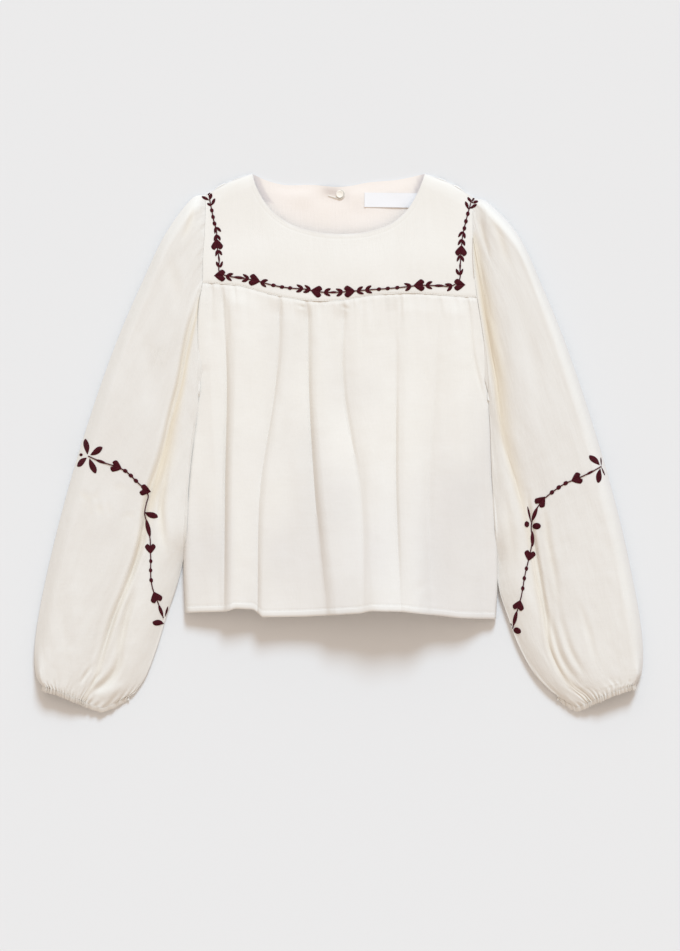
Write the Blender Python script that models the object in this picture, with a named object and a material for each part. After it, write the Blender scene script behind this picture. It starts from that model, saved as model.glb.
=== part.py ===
"""A girl's embroidered cotton-gauze blouse, laid face up on a table.

X runs across the blouse, +Y towards the neck and +Z up from the table. Sizes are in millimetres
and become metres when a mesh is made. The origin is the middle of the blouse's outline, on the table.
"""

import math

import bmesh
import bpy
import numpy as np
from mathutils import Vector
from mathutils.geometry import tessellate_polygon

MM = 0.001

# Cloth and seams
GAUZE = 1.2
LINED_YOKE = 2.0
TURNED_HEM = 2.2
HEM_DEPTH = 8.0
CASING = 1.8
SEAM_GAP = 0.35
LAY_GAP = 0.3
SIDE_TOP = GAUZE + LAY_GAP + GAUZE
SHOULDER_TOP = GAUZE + LAY_GAP + LINED_YOKE

# The armholes, from the shoulder point down to the underarm: x, y
LEFT_ARMHOLE = ((-147.4, 274.0), (-148.5, 233.0), (-150.2, 207.0), (-151.0, 176.6),
                (-155.7, 152.0), (-157.3, 120.0), (-155.3, 82.6))
RIGHT_ARMHOLE = ((146.3, 271.0), (145.8, 233.0), (146.0, 200.0), (150.2, 160.6),
                 (155.5, 128.0), (163.4, 68.8))
ARMHOLE_LIFT = 9.0

# The side seams, from the underarm down to the hem: x, y
LEFT_SIDE = ((-155.3, 82.6), (-159.5, 33.0), (-166.1, -15.4), (-170.5, -72.6),
             (-172.2, -123.0), (-170.5, -185.4))
RIGHT_SIDE = ((163.4, 68.8), (166.7, 35.0), (169.4, -34.0), (173.3, -100.0),
              (173.3, -155.0), (171.6, -192.5))
UNDERARM_ROW = 0.26

# Edges that run across, from left to right: x, y
YOKE_SEAM = ((-151.0, 176.6), (-139.7, 176.0), (-121.0, 174.4), (-105.6, 172.2), (-89.1, 167.2),
             (-63.8, 161.2), (-44.0, 157.9), (-24.2, 156.4), (0.0, 157.0), (28.6, 161.7),
             (57.2, 164.3), (81.4, 165.0), (101.2, 163.7), (138.6, 161.0), (150.2, 160.6))
HEM_LINE = ((-170.5, -185.4), (-124.3, -183.7), (-115.0, -180.5), (-95.0, -181.5), (-85.0, -189.8),
            (-38.5, -189.2), (22.0, -185.4), (33.0, -182.6), (66.0, -183.2), (99.0, -187.0),
            (132.0, -190.9), (171.6, -192.5))
FRONT_NECK = ((-96.8, 297.0), (-92.4, 283.8), (-85.8, 270.6), (-74.8, 256.3), (-55.0, 242.0),
              (-27.5, 233.2), (2.2, 230.5), (33.0, 233.8), (59.4, 244.2), (74.8, 258.5),
              (84.7, 275.0), (93.5, 297.0))
BACK_NECK = ((-96.8, 297.0), (-79.2, 289.3), (-66.0, 285.7), (-28.6, 284.9), (-3.3, 282.6),
             (11.0, 283.8), (28.6, 287.2), (66.0, 291.0), (93.5, 297.0))
LEFT_SHOULDER = ((-147.4, 274.0), (-122.0, 288.0), (-96.8, 297.0))
RIGHT_SHOULDER = ((93.5, 297.0), (121.0, 286.5), (146.3, 271.0))

# How high the yoke's face stands over the table at its middle, by y
YOKE_LOFT = ((157.0, 18.0), (200.0, 16.0), (231.0, 12.5), (260.0, 10.0), (297.0, 8.0))
YOKE_CROWN = 0.28
SHOULDER_ROUND = 16.0
ARMHOLE_ROUND = 24.0

# The gathered front's fold lines, left to right. x and z at four rows: the yoke seam, the chest, the
# waist and the hem. A valley is a sharp crease, a ridge a round crest, a flank the slope between.
FOLD_ROWS = (0.0, 0.272, 0.593, 1.0)
FOLD_COLUMNS = ("kind", "steps", "x_seam", "x_chest", "x_waist", "x_hem",
                "z_seam", "z_chest", "z_waist", "z_hem")
FOLDS = (
    ("ridge", 5, -143.0, -142.0, -137.0, -136.0, 14.0, 14.5, 15.5, 17.0),
    ("valley", 4, -129.0, -124.3, -126.0, -127.0, 12.5, 12.5, 13.5, 19.5),
    ("ridge", 4, -112.0, -113.0, -117.0, -118.0, 17.0, 20.5, 23.5, 26.0),
    ("valley", 5, -66.0, -70.4, -86.9, -90.5, 14.5, 15.0, 18.5, 21.0),
    ("ridge", 3, -54.0, -60.0, -79.0, -85.0, 17.5, 20.0, 24.0, 25.5),
    ("flank", 3, -43.5, -47.0, -55.0, -50.0, 16.5, 17.5, 20.5, 23.5),
    ("valley", 3, -35.2, -34.1, -28.0, -14.0, 14.5, 14.5, 18.5, 28.5),
    ("ridge", 4, -20.0, -24.0, -17.0, 0.0, 18.0, 21.5, 27.5, 35.0),
    ("valley", 4, 3.9, 3.3, 21.0, 26.0, 15.0, 15.5, 20.5, 40.0),
    ("ridge", 4, 20.0, 22.0, 42.0, 45.0, 18.0, 19.5, 25.5, 46.0),
    ("valley", 5, 61.6, 61.6, 61.5, 66.0, 15.5, 17.0, 22.5, 41.5),
    ("ridge", 4, 76.0, 74.0, 71.0, 76.0, 17.5, 20.5, 26.5, 42.5),
    ("valley", 4, 110.0, 104.0, 97.0, 100.0, 15.5, 16.5, 19.5, 30.0),
    ("ridge", 3, 124.0, 124.0, 119.0, 120.0, 16.5, 18.5, 21.5, 26.0),
    ("valley", 3, 140.0, 149.0, 151.8, 155.1, 13.0, 11.5, 13.0, 15.0),
    ("ridge", 2, 145.0, 156.0, 160.0, 163.0, 12.5, 11.0, 11.5, 12.0),
)
LAST_STEPS = 4
PANEL_ROWS = (0.0, 0.016, 0.038, 0.068, 0.105, 0.15, 0.205, UNDERARM_ROW, 0.33, 0.42,
              0.52, 0.62, 0.72, 0.82, 0.91, 0.97, 1.0)
SEAM_SWELL = 0.06
GATHER_LIFT = 1.1
GATHER_FADE = 0.085

# The yoke's grid
YOKE_ROWS = 7
SHOULDER_STEPS = 5
NECK_STEPS = 16

# The sleeves, a row for each section from the armhole to the cuff. The outer and inner edge in plan, the
# height of the main lobe, the lengthwise valley's place across the sleeve and its height, the height
# of the inner lobe, how far the middle of the section bows towards the hand, and the gathers' height.
SLEEVE_COLUMNS = ("out_x", "out_y", "in_x", "in_y", "lobe", "valley_at", "valley", "inner", "bow", "gather")
LEFT_SLEEVE = (
    (-164.0, 268.5, -158.4, 66.0, 17.0, 0.64, 12.5, 13.0, 0.0, 1.2),
    (-193.0, 229.0, -159.6, 44.0, 20.5, 0.70, 12.5, 14.0, 0.0, 0.6),
    (-219.0, 174.0, -162.4, 20.0, 22.5, 0.74, 12.5, 14.0, 0.0, 0.0),
    (-242.0, 121.0, -166.4, -10.0, 23.5, 0.73, 12.5, 14.0, 0.0, 0.0),
    (-262.5, 66.0, -169.4, -38.0, 24.5, 0.72, 12.5, 14.5, 0.0, 0.0),
    (-280.0, 13.0, -171.4, -67.0, 25.0, 0.69, 12.5, 15.0, 0.0, 0.0),
    (-296.0, -40.0, -173.0, -100.0, 25.5, 0.65, 13.0, 16.0, 0.0, 0.0),
    (-310.0, -92.0, -173.4, -130.0, 26.5, 0.64, 13.5, 17.5, 0.0, 0.0),
    (-322.5, -145.0, -180.5, -159.0, 27.5, 0.63, 14.5, 19.0, 0.0, 0.0),
    (-331.0, -188.0, -190.5, -188.0, 27.5, 0.60, 15.0, 20.0, 2.0, 0.0),
    (-335.5, -224.0, -200.5, -221.0, 26.5, 0.57, 15.0, 20.0, 5.0, 0.3),
    (-335.0, -249.0, -212.5, -253.0, 24.0, 0.54, 14.5, 18.0, 10.0, 0.8),
    (-332.0, -259.5, -223.0, -269.5, 20.0, 0.51, 12.5, 15.0, 14.5, 1.3),
    (-327.5, -265.5, -231.5, -276.0, 15.5, 0.49, 11.5, 13.0, 17.0, 1.4),
)
RIGHT_SLEEVE = (
    (164.5, 264.0, 167.0, 54.0, 17.5, 0.70, 9.0, 10.0, 0.0, 1.2),
    (197.0, 228.0, 167.6, 38.0, 21.0, 0.79, 9.6, 11.0, 0.0, 0.6),
    (222.0, 174.0, 168.9, 15.0, 23.0, 0.83, 10.6, 12.0, 0.0, 0.0),
    (244.0, 121.0, 169.7, -12.0, 24.0, 0.83, 11.2, 13.0, 0.0, 0.0),
    (263.5, 66.0, 170.9, -39.0, 25.0, 0.80, 11.6, 14.0, 0.0, 0.0),
    (280.5, 13.0, 172.6, -68.0, 26.0, 0.765, 12.0, 15.0, 0.0, 0.0),
    (296.0, -40.0, 174.4, -98.0, 26.5, 0.735, 12.6, 16.0, 0.0, 0.0),
    (309.5, -92.0, 174.7, -128.0, 27.0, 0.72, 13.2, 17.5, 0.0, 0.0),
    (321.0, -145.0, 178.5, -158.0, 27.5, 0.715, 14.0, 18.5, 0.0, 0.0),
    (329.5, -191.0, 187.0, -190.0, 27.5, 0.722, 14.0, 19.5, 2.0, 0.0),
    (333.0, -226.0, 198.0, -222.0, 26.5, 0.74, 14.5, 19.5, 5.0, 0.3),
    (332.0, -249.0, 213.0, -252.0, 24.0, 0.70, 14.0, 17.5, 10.0, 0.8),
    (329.0, -257.5, 230.0, -270.0, 20.0, 0.64, 12.5, 15.0, 14.0, 1.3),
    (325.0, -263.5, 239.0, -276.5, 15.5, 0.62, 11.5, 13.0, 15.5, 1.4),
)
LEFT_VALLEY_START = 0.60
RIGHT_VALLEY_START = 0.22
HALF_WAY_ROWS = (1, 2, 3, 9)
LOBE_STEPS = 20
INNER_STEPS = 11
UNDER_STEPS = 9
OUTER_EDGE = 7.0
INNER_EDGE = 4.5
OUTER_ROUND = 14.0
INNER_ROUND = 13.0
LOBE_FALL = 0.26
INNER_RISE = 0.5

# The elastic cuffs: how far each ring lies from the sleeve's end, its growth and its ruching
CUFF_RINGS = ((0.0, 0.0, 0.5), (1.6, 0.5, 0.7), (3.4, 0.4, 0.7), (5.2, 0.0, 0.8))

# Where across a cuff it hangs lowest, on the left (-1) and on the right (1)
CUFF_LOWEST = {-1: 0.70, 1: 0.78}

# The back neck's opening, button, loop and bare label
SLIT_AT = -6.0
SLIT_DEPTH = 62.0
SLIT_TOP = 0.9
SLIT_FOOT = 0.45
BUTTON_AT = (-0.2, 274.6)
BUTTON_RADIUS = 4.2
BUTTON_HEIGHT = 2.2
LOOP_WIRE = 0.6
LABEL_AT = (58.5, 266.5)
LABEL_SIZE = (68.0, 17.0, 1.0)
LABEL_TURN = -1.5
BACK_HEM_SHORT = 4.0

# Colours, roughness
CREAM = ((0.86, 0.82, 0.755), 0.9)
LABEL_WHITE = ((0.86, 0.86, 0.88), 0.8)
PEARL = ((0.82, 0.76, 0.66), 0.35)


def smooth_curve(stations, values, at):
    """A curve through values at rising stations, with each slope taken from its neighbours."""
    stations = np.asarray(stations, float)
    values = np.asarray(values, float)
    slopes = np.gradient(values, stations, axis=0)
    at = np.clip(np.asarray(at, float), stations[0], stations[-1])
    k = np.clip(np.searchsorted(stations, at, side="right") - 1, 0, len(stations) - 2)
    width = stations[k + 1] - stations[k]
    s = (at - stations[k]) / width
    spare = (1,) * (values.ndim - 1)
    s, width = s.reshape(s.shape + spare), width.reshape(width.shape + spare)
    keep = 2 * s ** 3 - 3 * s ** 2 + 1
    leave = (s ** 3 - 2 * s ** 2 + s) * width
    arrive = (s ** 3 - s ** 2) * width
    return keep * values[k] + leave * slopes[k] + (1 - keep) * values[k + 1] + arrive * slopes[k + 1]


def x_at(edge, y):
    """Where a downward edge such as an armhole is, across, at height y."""
    points = np.array(edge)[::-1]
    return smooth_curve(points[:, 1], points[:, 0], y)


def y_at(edge, x):
    """Where an edge that runs across is, at x."""
    points = np.array(edge)
    return np.interp(x, points[:, 0], points[:, 1])


def along(edge, share):
    """The point a share of the way along an edge."""
    points = np.array(edge, float)
    reach = np.concatenate([[0], np.cumsum(np.hypot(*np.diff(points, axis=0).T))])
    return smooth_curve(reach / reach[-1], points, share)


def rounded(share):
    """A quarter circle's rise, from 0 at the edge to 1."""
    return np.sqrt(1 - (1 - np.clip(share, 0, 1)) ** 2)


def eased(share):
    """A slope that is steep at 0 and level at 1."""
    return 1 - (1 - np.clip(share, 0, 1)) ** 2


def armhole_lift(share):
    """The top cloth's height along the armhole, from the shoulder (0) to the underarm (1)."""
    return SHOULDER_TOP + ARMHOLE_LIFT * np.sin(math.pi * np.clip(share, 0, 1)) ** 0.45


def armhole_share(edge, y):
    return (edge[0][1] - y) / (edge[0][1] - edge[-1][1])


def across(kind, next_kind, z, next_z, share):
    """The height between two fold lines."""
    if kind == "edge":
        return z + (next_z - z) * rounded(share)
    if next_kind == "edge":
        return next_z + (z - next_z) * rounded(1 - share)
    if kind == "valley":
        return z + (next_z - z) * eased(share)
    if next_kind == "valley":
        return next_z + (z - next_z) * eased(1 - share)
    turn = share * share * (3 - 2 * share)
    return z + (next_z - z) * turn


def fold_line(row, fold):
    """The x and z of one fold line at a row of the gathered front."""
    facts = dict(zip(FOLD_COLUMNS, fold))
    xs = [facts[f"x_{name}"] for name in ("seam", "chest", "waist", "hem")]
    zs = [facts[f"z_{name}"] for name in ("seam", "chest", "waist", "hem")]
    return smooth_curve(FOLD_ROWS, xs, row), smooth_curve(FOLD_ROWS, zs, row)


def side_point(armhole, side, row):
    """The gathered front's side edge at a row: its x, y and z."""
    top, foot = armhole_foot(armhole), side[-1][1]
    y = top + (foot - top) * row
    if row <= UNDERARM_ROW:
        return x_at(armhole, y), y, armhole_lift(armhole_share(armhole, y)) if row < UNDERARM_ROW else SIDE_TOP
    return x_at(side, y), y, SIDE_TOP


def armhole_foot(armhole):
    """The y at which the yoke seam meets the armhole."""
    return YOKE_SEAM[0][1] if armhole[0][0] < 0 else YOKE_SEAM[-1][1]


def front_panel_points():
    """The gathered front's upper face, a row of points for each of PANEL_ROWS."""
    grid = []
    for row in PANEL_ROWS:
        left_x, left_y, left_z = side_point(LEFT_ARMHOLE, LEFT_SIDE, row)
        right_x, right_y, right_z = side_point(RIGHT_ARMHOLE, RIGHT_SIDE, row)
        lines = [("edge", FOLDS[0][1], left_x, left_z)]
        for k, fold in enumerate(FOLDS):
            x, z = fold_line(row, fold)
            steps = FOLDS[k + 1][1] if k + 1 < len(FOLDS) else LAST_STEPS
            lines.append((fold[0], steps, x, z))
        lines.append(("edge", 0, right_x, right_z))
        points, waves = [], []
        for (kind, steps, x, z), (next_kind, _, next_x, next_z) in zip(lines, lines[1:]):
            for k in range(steps):
                share = k / steps
                if kind == "edge":
                    share = 1 - math.cos(share * math.pi / 2)
                if next_kind == "edge":
                    share = math.sin(share * math.pi / 2)
                waves.append(gather_wave(row, k, steps, (next_x - x) / steps))
                points.append((x + (next_x - x) * share, across(kind, next_kind, z, next_z, share)))
        points.append((right_x, right_z))
        made = np.array(with_depth(points, row, left_y, right_y))
        made[:-1, 2] += waves
        grid.append(made)
    return np.array(grid)


def gather_wave(row, k, steps, spacing):
    """Small gathers under the yoke seam: every other point between two folds stands up or sinks."""
    if k == 0 or steps < 3:
        return 0.0
    fade = math.exp(-row / GATHER_FADE) * min(1.0, 0.35 + row / 0.02)
    lift = min(GATHER_LIFT, 0.3 * spacing)
    return lift * fade * (1 if k % 2 else -1)


def with_depth(points, row, left_y, right_y):
    """Adds y to a row of (x, z), between the yoke seam and the hem, and true to both side edges.

    The folds swell from the yoke's own height at the seam.
    """
    swell = min(1.0, row / SEAM_SWELL)
    swell = swell * swell * (3 - 2 * swell)
    first_x, last_x = points[0][0], points[-1][0]
    made = []
    for x, z in points:
        share = (x - first_x) / (last_x - first_x)
        seam_x = YOKE_SEAM[0][0] + (YOKE_SEAM[-1][0] - YOKE_SEAM[0][0]) * share
        hem_x = HEM_LINE[0][0] + (HEM_LINE[-1][0] - HEM_LINE[0][0]) * share
        seam_y = y_at(YOKE_SEAM, seam_x)
        y = seam_y * (1 - row) + y_at(HEM_LINE, hem_x) * row
        if swell < 1:
            seam_z = yoke_height(seam_x, seam_y)
            z = seam_z + (z - seam_z) * swell
        made.append((x, y, z))
    made[0] = (first_x, left_y, points[0][1])
    made[-1] = (last_x, right_y, points[-1][1])
    return made


def distance_to(edge, x, y):
    """How far a point lies from a chain of straight stretches."""
    best = 1e9
    for (x0, y0), (x1, y1) in zip(edge, edge[1:]):
        length = (x1 - x0) ** 2 + (y1 - y0) ** 2
        share = min(1.0, max(0.0, ((x - x0) * (x1 - x0) + (y - y0) * (y1 - y0)) / length))
        best = min(best, math.hypot(x - x0 - share * (x1 - x0), y - y0 - share * (y1 - y0)))
    return best


def yoke_height(x, y):
    """The yoke's upper face over the table."""
    ys, lofts = zip(*YOKE_LOFT)
    loft = float(smooth_curve(ys, lofts, y))
    armhole = LEFT_ARMHOLE if x < 0 else RIGHT_ARMHOLE
    half = abs(x_at(armhole, y))
    z = loft * (1 - YOKE_CROWN * min(1.0, abs(x) / half) ** 2.4)
    edge = armhole_lift(armhole_share(armhole, y))
    z = edge + (z - edge) * eased((half - abs(x)) / ARMHOLE_ROUND)
    shoulder = min(distance_to(LEFT_SHOULDER, x, y), distance_to(RIGHT_SHOULDER, x, y))
    return SHOULDER_TOP + (z - SHOULDER_TOP) * float(rounded(shoulder / SHOULDER_ROUND))


def yoke_top_points():
    """The yoke's upper edge: left shoulder, neckline and right shoulder."""
    left = [along(LEFT_SHOULDER, k / SHOULDER_STEPS) for k in range(SHOULDER_STEPS)]
    neck = [along(FRONT_NECK, k / NECK_STEPS) for k in range(NECK_STEPS)]
    right = [along(RIGHT_SHOULDER, k / SHOULDER_STEPS) for k in range(SHOULDER_STEPS + 1)]
    return np.array(left + neck + right)


def yoke_points():
    """The yoke's upper face, from its top edge down to the seam with the gathered front."""
    top = yoke_top_points()
    seam_x = np.interp(top[:, 0], (LEFT_SHOULDER[0][0], RIGHT_SHOULDER[-1][0]),
                       (YOKE_SEAM[0][0], YOKE_SEAM[-1][0]))
    seam_y = y_at(YOKE_SEAM, seam_x) + SEAM_GAP
    grid = []
    for row in range(YOKE_ROWS + 1):
        share = row / YOKE_ROWS
        share = 0.35 * share + 0.65 * math.sin(share * math.pi / 2) ** 2 if row < YOKE_ROWS else 1.0
        xs = top[:, 0] + (seam_x - top[:, 0]) * share
        ys = top[:, 1] + (seam_y - top[:, 1]) * share
        xs[0], xs[-1] = x_at(LEFT_ARMHOLE, ys[0]), x_at(RIGHT_ARMHOLE, ys[-1])
        grid.append([(x, y, yoke_height(x, y)) for x, y in zip(xs, ys)])
    return np.array(grid)


def places_across(valley_at):
    """Where a sleeve ring's points lie across the sleeve, with one on the valley: upper, then under."""
    lobe = (1 - np.cos(np.linspace(0, math.pi, LOBE_STEPS + 1))) / 2 * valley_at
    inner = valley_at + (1 - np.cos(np.linspace(0, math.pi, INNER_STEPS + 1))) / 2 * (1 - valley_at)
    under = (1 + np.cos(np.linspace(0, math.pi, UNDER_STEPS + 1))) / 2
    return np.concatenate([lobe, inner[1:]]), under[1:-1]


def gather_ruche(upper, height, reach):
    """Gathers round a sleeve: every other upper point stands up or sinks, less where points are close."""
    room = np.gradient(upper) * reach
    sign = np.where(np.arange(len(upper)) % 2, 1.0, -1.0)
    wave = sign * height * np.clip(room / 4.0, 0, 1)
    wave[[0, -1]] = 0
    return wave


def armhole_ring(armhole, valley_start, outward):
    """The sleeve's first ring, which stands along the armhole seam."""
    upper, under = places_across(valley_start)
    top_y, foot_y = armhole[0][1], armhole[-1][1]

    def seam(shares, heights):
        ys = top_y + (foot_y - top_y) * shares
        return np.stack([x_at(armhole, ys) + outward * SEAM_GAP, ys, heights], axis=1)

    lift = armhole_lift(upper)
    lift[[0, -1]] = SHOULDER_TOP / 2
    return np.concatenate([seam(upper, lift), seam(under, np.zeros(len(under)))])


def sleeve_ring(section, outward):
    """One ring of a sleeve: over the lobe, the valley and the inner lobe, and back flat on the table."""
    s = dict(zip(SLEEVE_COLUMNS, section))
    outer = np.array((s["out_x"], s["out_y"]))
    inner = np.array((s["in_x"], s["in_y"]))
    reach = float(np.hypot(*(inner - outer)))
    upper, under = places_across(s["valley_at"])
    crown = OUTER_EDGE + (s["lobe"] - OUTER_EDGE) * rounded(upper * reach / OUTER_ROUND)
    fall = eased((1 - upper / s["valley_at"]) / LOBE_FALL)
    lobe = s["valley"] + (crown - s["valley"]) * fall
    rise = eased((upper - s["valley_at"]) / (1 - s["valley_at"]) / INNER_RISE)
    fill = s["valley"] + (s["inner"] - s["valley"]) * rise
    inner_edge = min(INNER_EDGE, s["inner"] / 2)
    fill = inner_edge + (fill - inner_edge) * rounded((1 - upper) * reach / INNER_ROUND)
    heights = np.where(upper <= s["valley_at"], lobe, fill)
    heights[0] = OUTER_EDGE
    heights = heights + gather_ruche(upper, s["gather"], reach)
    below = OUTER_EDGE * (1 - rounded(under * reach / OUTER_EDGE))
    below = below + inner_edge * (1 - rounded((1 - under) * reach / inner_edge))
    shares = np.concatenate([upper, under])
    hand = np.array((-(inner - outer)[1], (inner - outer)[0])) / reach
    hand = hand if hand[1] < 0 else -hand
    bow = s["bow"] * np.sin(math.pi * shares ** (math.log(0.5) / math.log(CUFF_LOWEST[outward])))
    plan = outer + shares[:, None] * (inner - outer) + bow[:, None] * hand
    return np.column_stack([plan, np.concatenate([heights, below])]), hand


def sleeve_points(sections, armhole, valley_start, outward):
    """A sleeve's outer face, a ring for each section and some half way between, and the way the hand goes."""
    rings = [armhole_ring(armhole, valley_start, outward)]
    for section in sections:
        ring, hand = sleeve_ring(section, outward)
        rings.append(ring)
    rows = np.arange(len(rings), dtype=float)
    wanted = sorted(set(rows) | {row - 0.5 for row in HALF_WAY_ROWS})
    grid = smooth_curve(rows, np.array(rings), np.array(wanted))
    grid[..., 2] = np.maximum(grid[..., 2], 0)
    return grid, hand


def cuff_points(end_ring, hand):
    """The elastic casing past the sleeve's last ring, slightly swelled and ruched."""
    upper = LOBE_STEPS + INNER_STEPS + 1
    rings = []
    for reach, swell, ruche in CUFF_RINGS:
        ring = end_ring.copy()
        ring[:, :2] += hand * (SEAM_GAP + reach)
        wave = np.where(np.arange(upper) % 2, 1.0, -1.0) * ruche
        wave[[0, 1, -2, -1]] = 0
        near = np.gradient(ring[:upper, 0])
        ring[:upper, 2] += (swell + wave) * np.clip(np.abs(near) / 4.0, 0, 1)
        rings.append(ring)
    return np.array(rings)


def face_normals(grid, ring):
    """The outward direction at each point of a grid whose rows run down and columns run across."""
    down = np.gradient(grid, axis=0)
    if ring:
        over = np.roll(grid, -1, axis=1) - np.roll(grid, 1, axis=1)
    else:
        over = np.gradient(grid, axis=1)
    normals = np.cross(down, over)
    return normals / np.linalg.norm(normals, axis=2, keepdims=True)


def stand_on_seam(normals, points, ring):
    """Turns the thickness at a seam so that the wall's end face stands upright along the seam line."""
    line = np.gradient(points[:, :2], axis=0)
    if ring:
        line = np.roll(points, -1, axis=0)[:, :2] - np.roll(points, 1, axis=0)[:, :2]
    aside = np.stack([-line[:, 1], line[:, 0], np.zeros(len(line))], axis=1)
    aside /= np.maximum(np.linalg.norm(aside, axis=1, keepdims=True), 1e-9)
    turned = normals - (normals * aside).sum(axis=1, keepdims=True) * aside
    return turned / np.linalg.norm(turned, axis=1, keepdims=True)


def across_hand(normals, hand):
    """Turns the thickness at a cuff's end so that the wall ends square to the sleeve."""
    way = np.array((hand[0], hand[1], 0.0))
    turned = normals - (normals @ way)[:, None] * way
    return turned / np.linalg.norm(turned, axis=1, keepdims=True)


def material(name, finish):
    colour, roughness = finish
    made = bpy.data.materials.new(name)
    made.use_nodes = True
    shader = made.node_tree.nodes["Principled BSDF"]
    shader.inputs["Base Color"].default_value = (*colour, 1)
    shader.inputs["Roughness"].default_value = roughness
    return made


def add_object(name, mesh, finish):
    mesh.materials.append(finish)
    mesh.shade_smooth()
    mesh.set_sharp_from_angle(angle=math.radians(40))
    made = bpy.data.objects.new(name, mesh)
    bpy.context.scene.collection.objects.link(made)
    return made


def closed_mesh(name, points, triangles):
    """A closed mesh in metres with its faces turned outwards."""
    mesh = bpy.data.meshes.new(name)
    mesh.from_pydata([tuple(p * MM) for p in points], [], triangles)
    work = bmesh.new()
    work.from_mesh(mesh)
    bmesh.ops.recalc_face_normals(work, faces=work.faces)
    work.to_mesh(mesh)
    work.free()
    return mesh


def cloth_wall(name, outer, normals, thickness, ring, finish):
    """A closed wall of cloth: the outer face's points, the same points moved in, and rims between."""
    rows, columns = outer.shape[:2]
    inner = outer - normals * np.broadcast_to(thickness, (rows,))[:, None, None]
    points = np.concatenate([outer.reshape(-1, 3), inner.reshape(-1, 3)])
    step = rows * columns
    last = columns if ring else columns - 1
    triangles = []
    for r in range(rows - 1):
        for c in range(last):
            a, b = r * columns + c, r * columns + (c + 1) % columns
            d, e = a + columns, b + columns
            if np.linalg.norm(points[a] - points[e]) <= np.linalg.norm(points[b] - points[d]):
                cell = ((a, d, e), (a, e, b))
            else:
                cell = ((a, d, b), (b, d, e))
            triangles += cell
            triangles += [(k + step, j + step, i + step) for i, j, k in cell]
    for i, j in rim_edges(rows, columns, ring):
        triangles += [(i, j, j + step), (i, j + step, i + step)]
    return add_object(name, closed_mesh(name, points, triangles), finish)


def rim_edges(rows, columns, ring):
    """The grid's border as pairs of neighbouring points."""
    last_row = (rows - 1) * columns
    wrap = columns if ring else columns - 1
    edges = []
    for start in (0, last_row):
        edges += [(start + c, start + (c + 1) % columns) for c in range(wrap)]
    if not ring:
        edges += [(r * columns + c, (r + 1) * columns + c) for c in (0, columns - 1) for r in range(rows - 1)]
    return edges


def make_front_panel(finish):
    grid = front_panel_points()
    normals = face_normals(grid, False)
    normals[0] = stand_on_seam(normals[0], grid[0], False)
    normals[-1] = stand_on_seam(normals[-1], grid[-1], False)
    for column in (0, -1):
        normals[:, column] = stand_on_seam(normals[:, column], grid[:, column], False)
    thickness = np.full(len(PANEL_ROWS), GAUZE)
    thickness[-2:] = TURNED_HEM
    grid[-2:, 1:-1, 2] += (TURNED_HEM - GAUZE) / 2
    grid[-2:, (0, -1), 2] += TURNED_HEM - GAUZE
    return cloth_wall("front_panel", grid, normals, thickness, False, finish)


def make_yoke(finish):
    grid = yoke_points()
    normals = face_normals(grid, False)
    for row in (0, -1):
        normals[row] = stand_on_seam(normals[row], grid[row], False)
    for column in (0, -1):
        normals[:, column] = stand_on_seam(normals[:, column], grid[:, column], False)
    return cloth_wall("front_yoke", grid, normals, LINED_YOKE, False, finish)


def make_sleeve(side, sections, armhole, valley_start, outward, finish):
    """One sleeve and its cuff."""
    grid, hand = sleeve_points(sections, armhole, valley_start, outward)
    turn = 1 if outward < 0 else -1
    normals = turn * face_normals(grid, True)
    normals[0] = np.array([0, 0, 1.0]) * np.where(np.arange(grid.shape[1]) < LOBE_STEPS + INNER_STEPS, 1, -1)[:, None]
    normals[0, 0] = (0, 1, 0)
    normals[0, LOBE_STEPS + INNER_STEPS] = (0, -1, 0)
    normals[-1] = across_hand(normals[-1], hand)
    cloth_wall(f"sleeve_{side}", grid, normals, GAUZE, True, finish)
    cuff = cuff_points(grid[-1], hand)
    normals = turn * face_normals(cuff, True)
    for row in (0, -1):
        normals[row] = across_hand(normals[row], hand)
    cloth_wall(f"cuff_{side}", cuff, normals, CASING, True, finish)


def back_outline():
    """The back's edge, anticlockwise from the foot of the left side seam, with the neck's slit."""
    hem_x = np.linspace(LEFT_SIDE[-1][0], RIGHT_SIDE[-1][0], 13)
    hem = [(x, y_at(HEM_LINE, x) + BACK_HEM_SHORT) for x in hem_x]
    right = [tuple(along(RIGHT_SIDE, k / 8)) for k in range(7, 0, -1)]
    right += [(float(x_at(RIGHT_ARMHOLE, y)), y) for y in armhole_rows(RIGHT_ARMHOLE)[::-1]]
    right += [tuple(along(RIGHT_SHOULDER, k / 4)) for k in (3, 2, 1, 0)]
    neck = [(x, y_at(BACK_NECK, x)) for x in (80, 66, 47, 28.6, 11, SLIT_AT + SLIT_TOP)]
    foot = y_at(BACK_NECK, SLIT_AT) - SLIT_DEPTH
    slit = [(SLIT_AT + SLIT_FOOT, foot + 42), (SLIT_AT + SLIT_FOOT, foot), (SLIT_AT - SLIT_FOOT, foot),
            (SLIT_AT - SLIT_FOOT, foot + 42)]
    far_neck = [(x, y_at(BACK_NECK, x)) for x in (SLIT_AT - SLIT_TOP, -28.6, -48, -66, -79.2)]
    left = [tuple(along(LEFT_SHOULDER, k / 4)) for k in (4, 3, 2, 1)]
    left += [(float(x_at(LEFT_ARMHOLE, y)), y) for y in armhole_rows(LEFT_ARMHOLE)]
    left += [tuple(along(LEFT_SIDE, k / 8)) for k in range(1, 8)]
    return hem + right + neck + slit + far_neck + left


def armhole_rows(armhole):
    """Heights down an armhole, at the sleeve's own under points."""
    _, under = places_across(0.5)
    shares = np.concatenate([[0], under[::-1], [1]])
    return [float(armhole[0][1] + (armhole[-1][1] - armhole[0][1]) * s) for s in shares]


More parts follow.
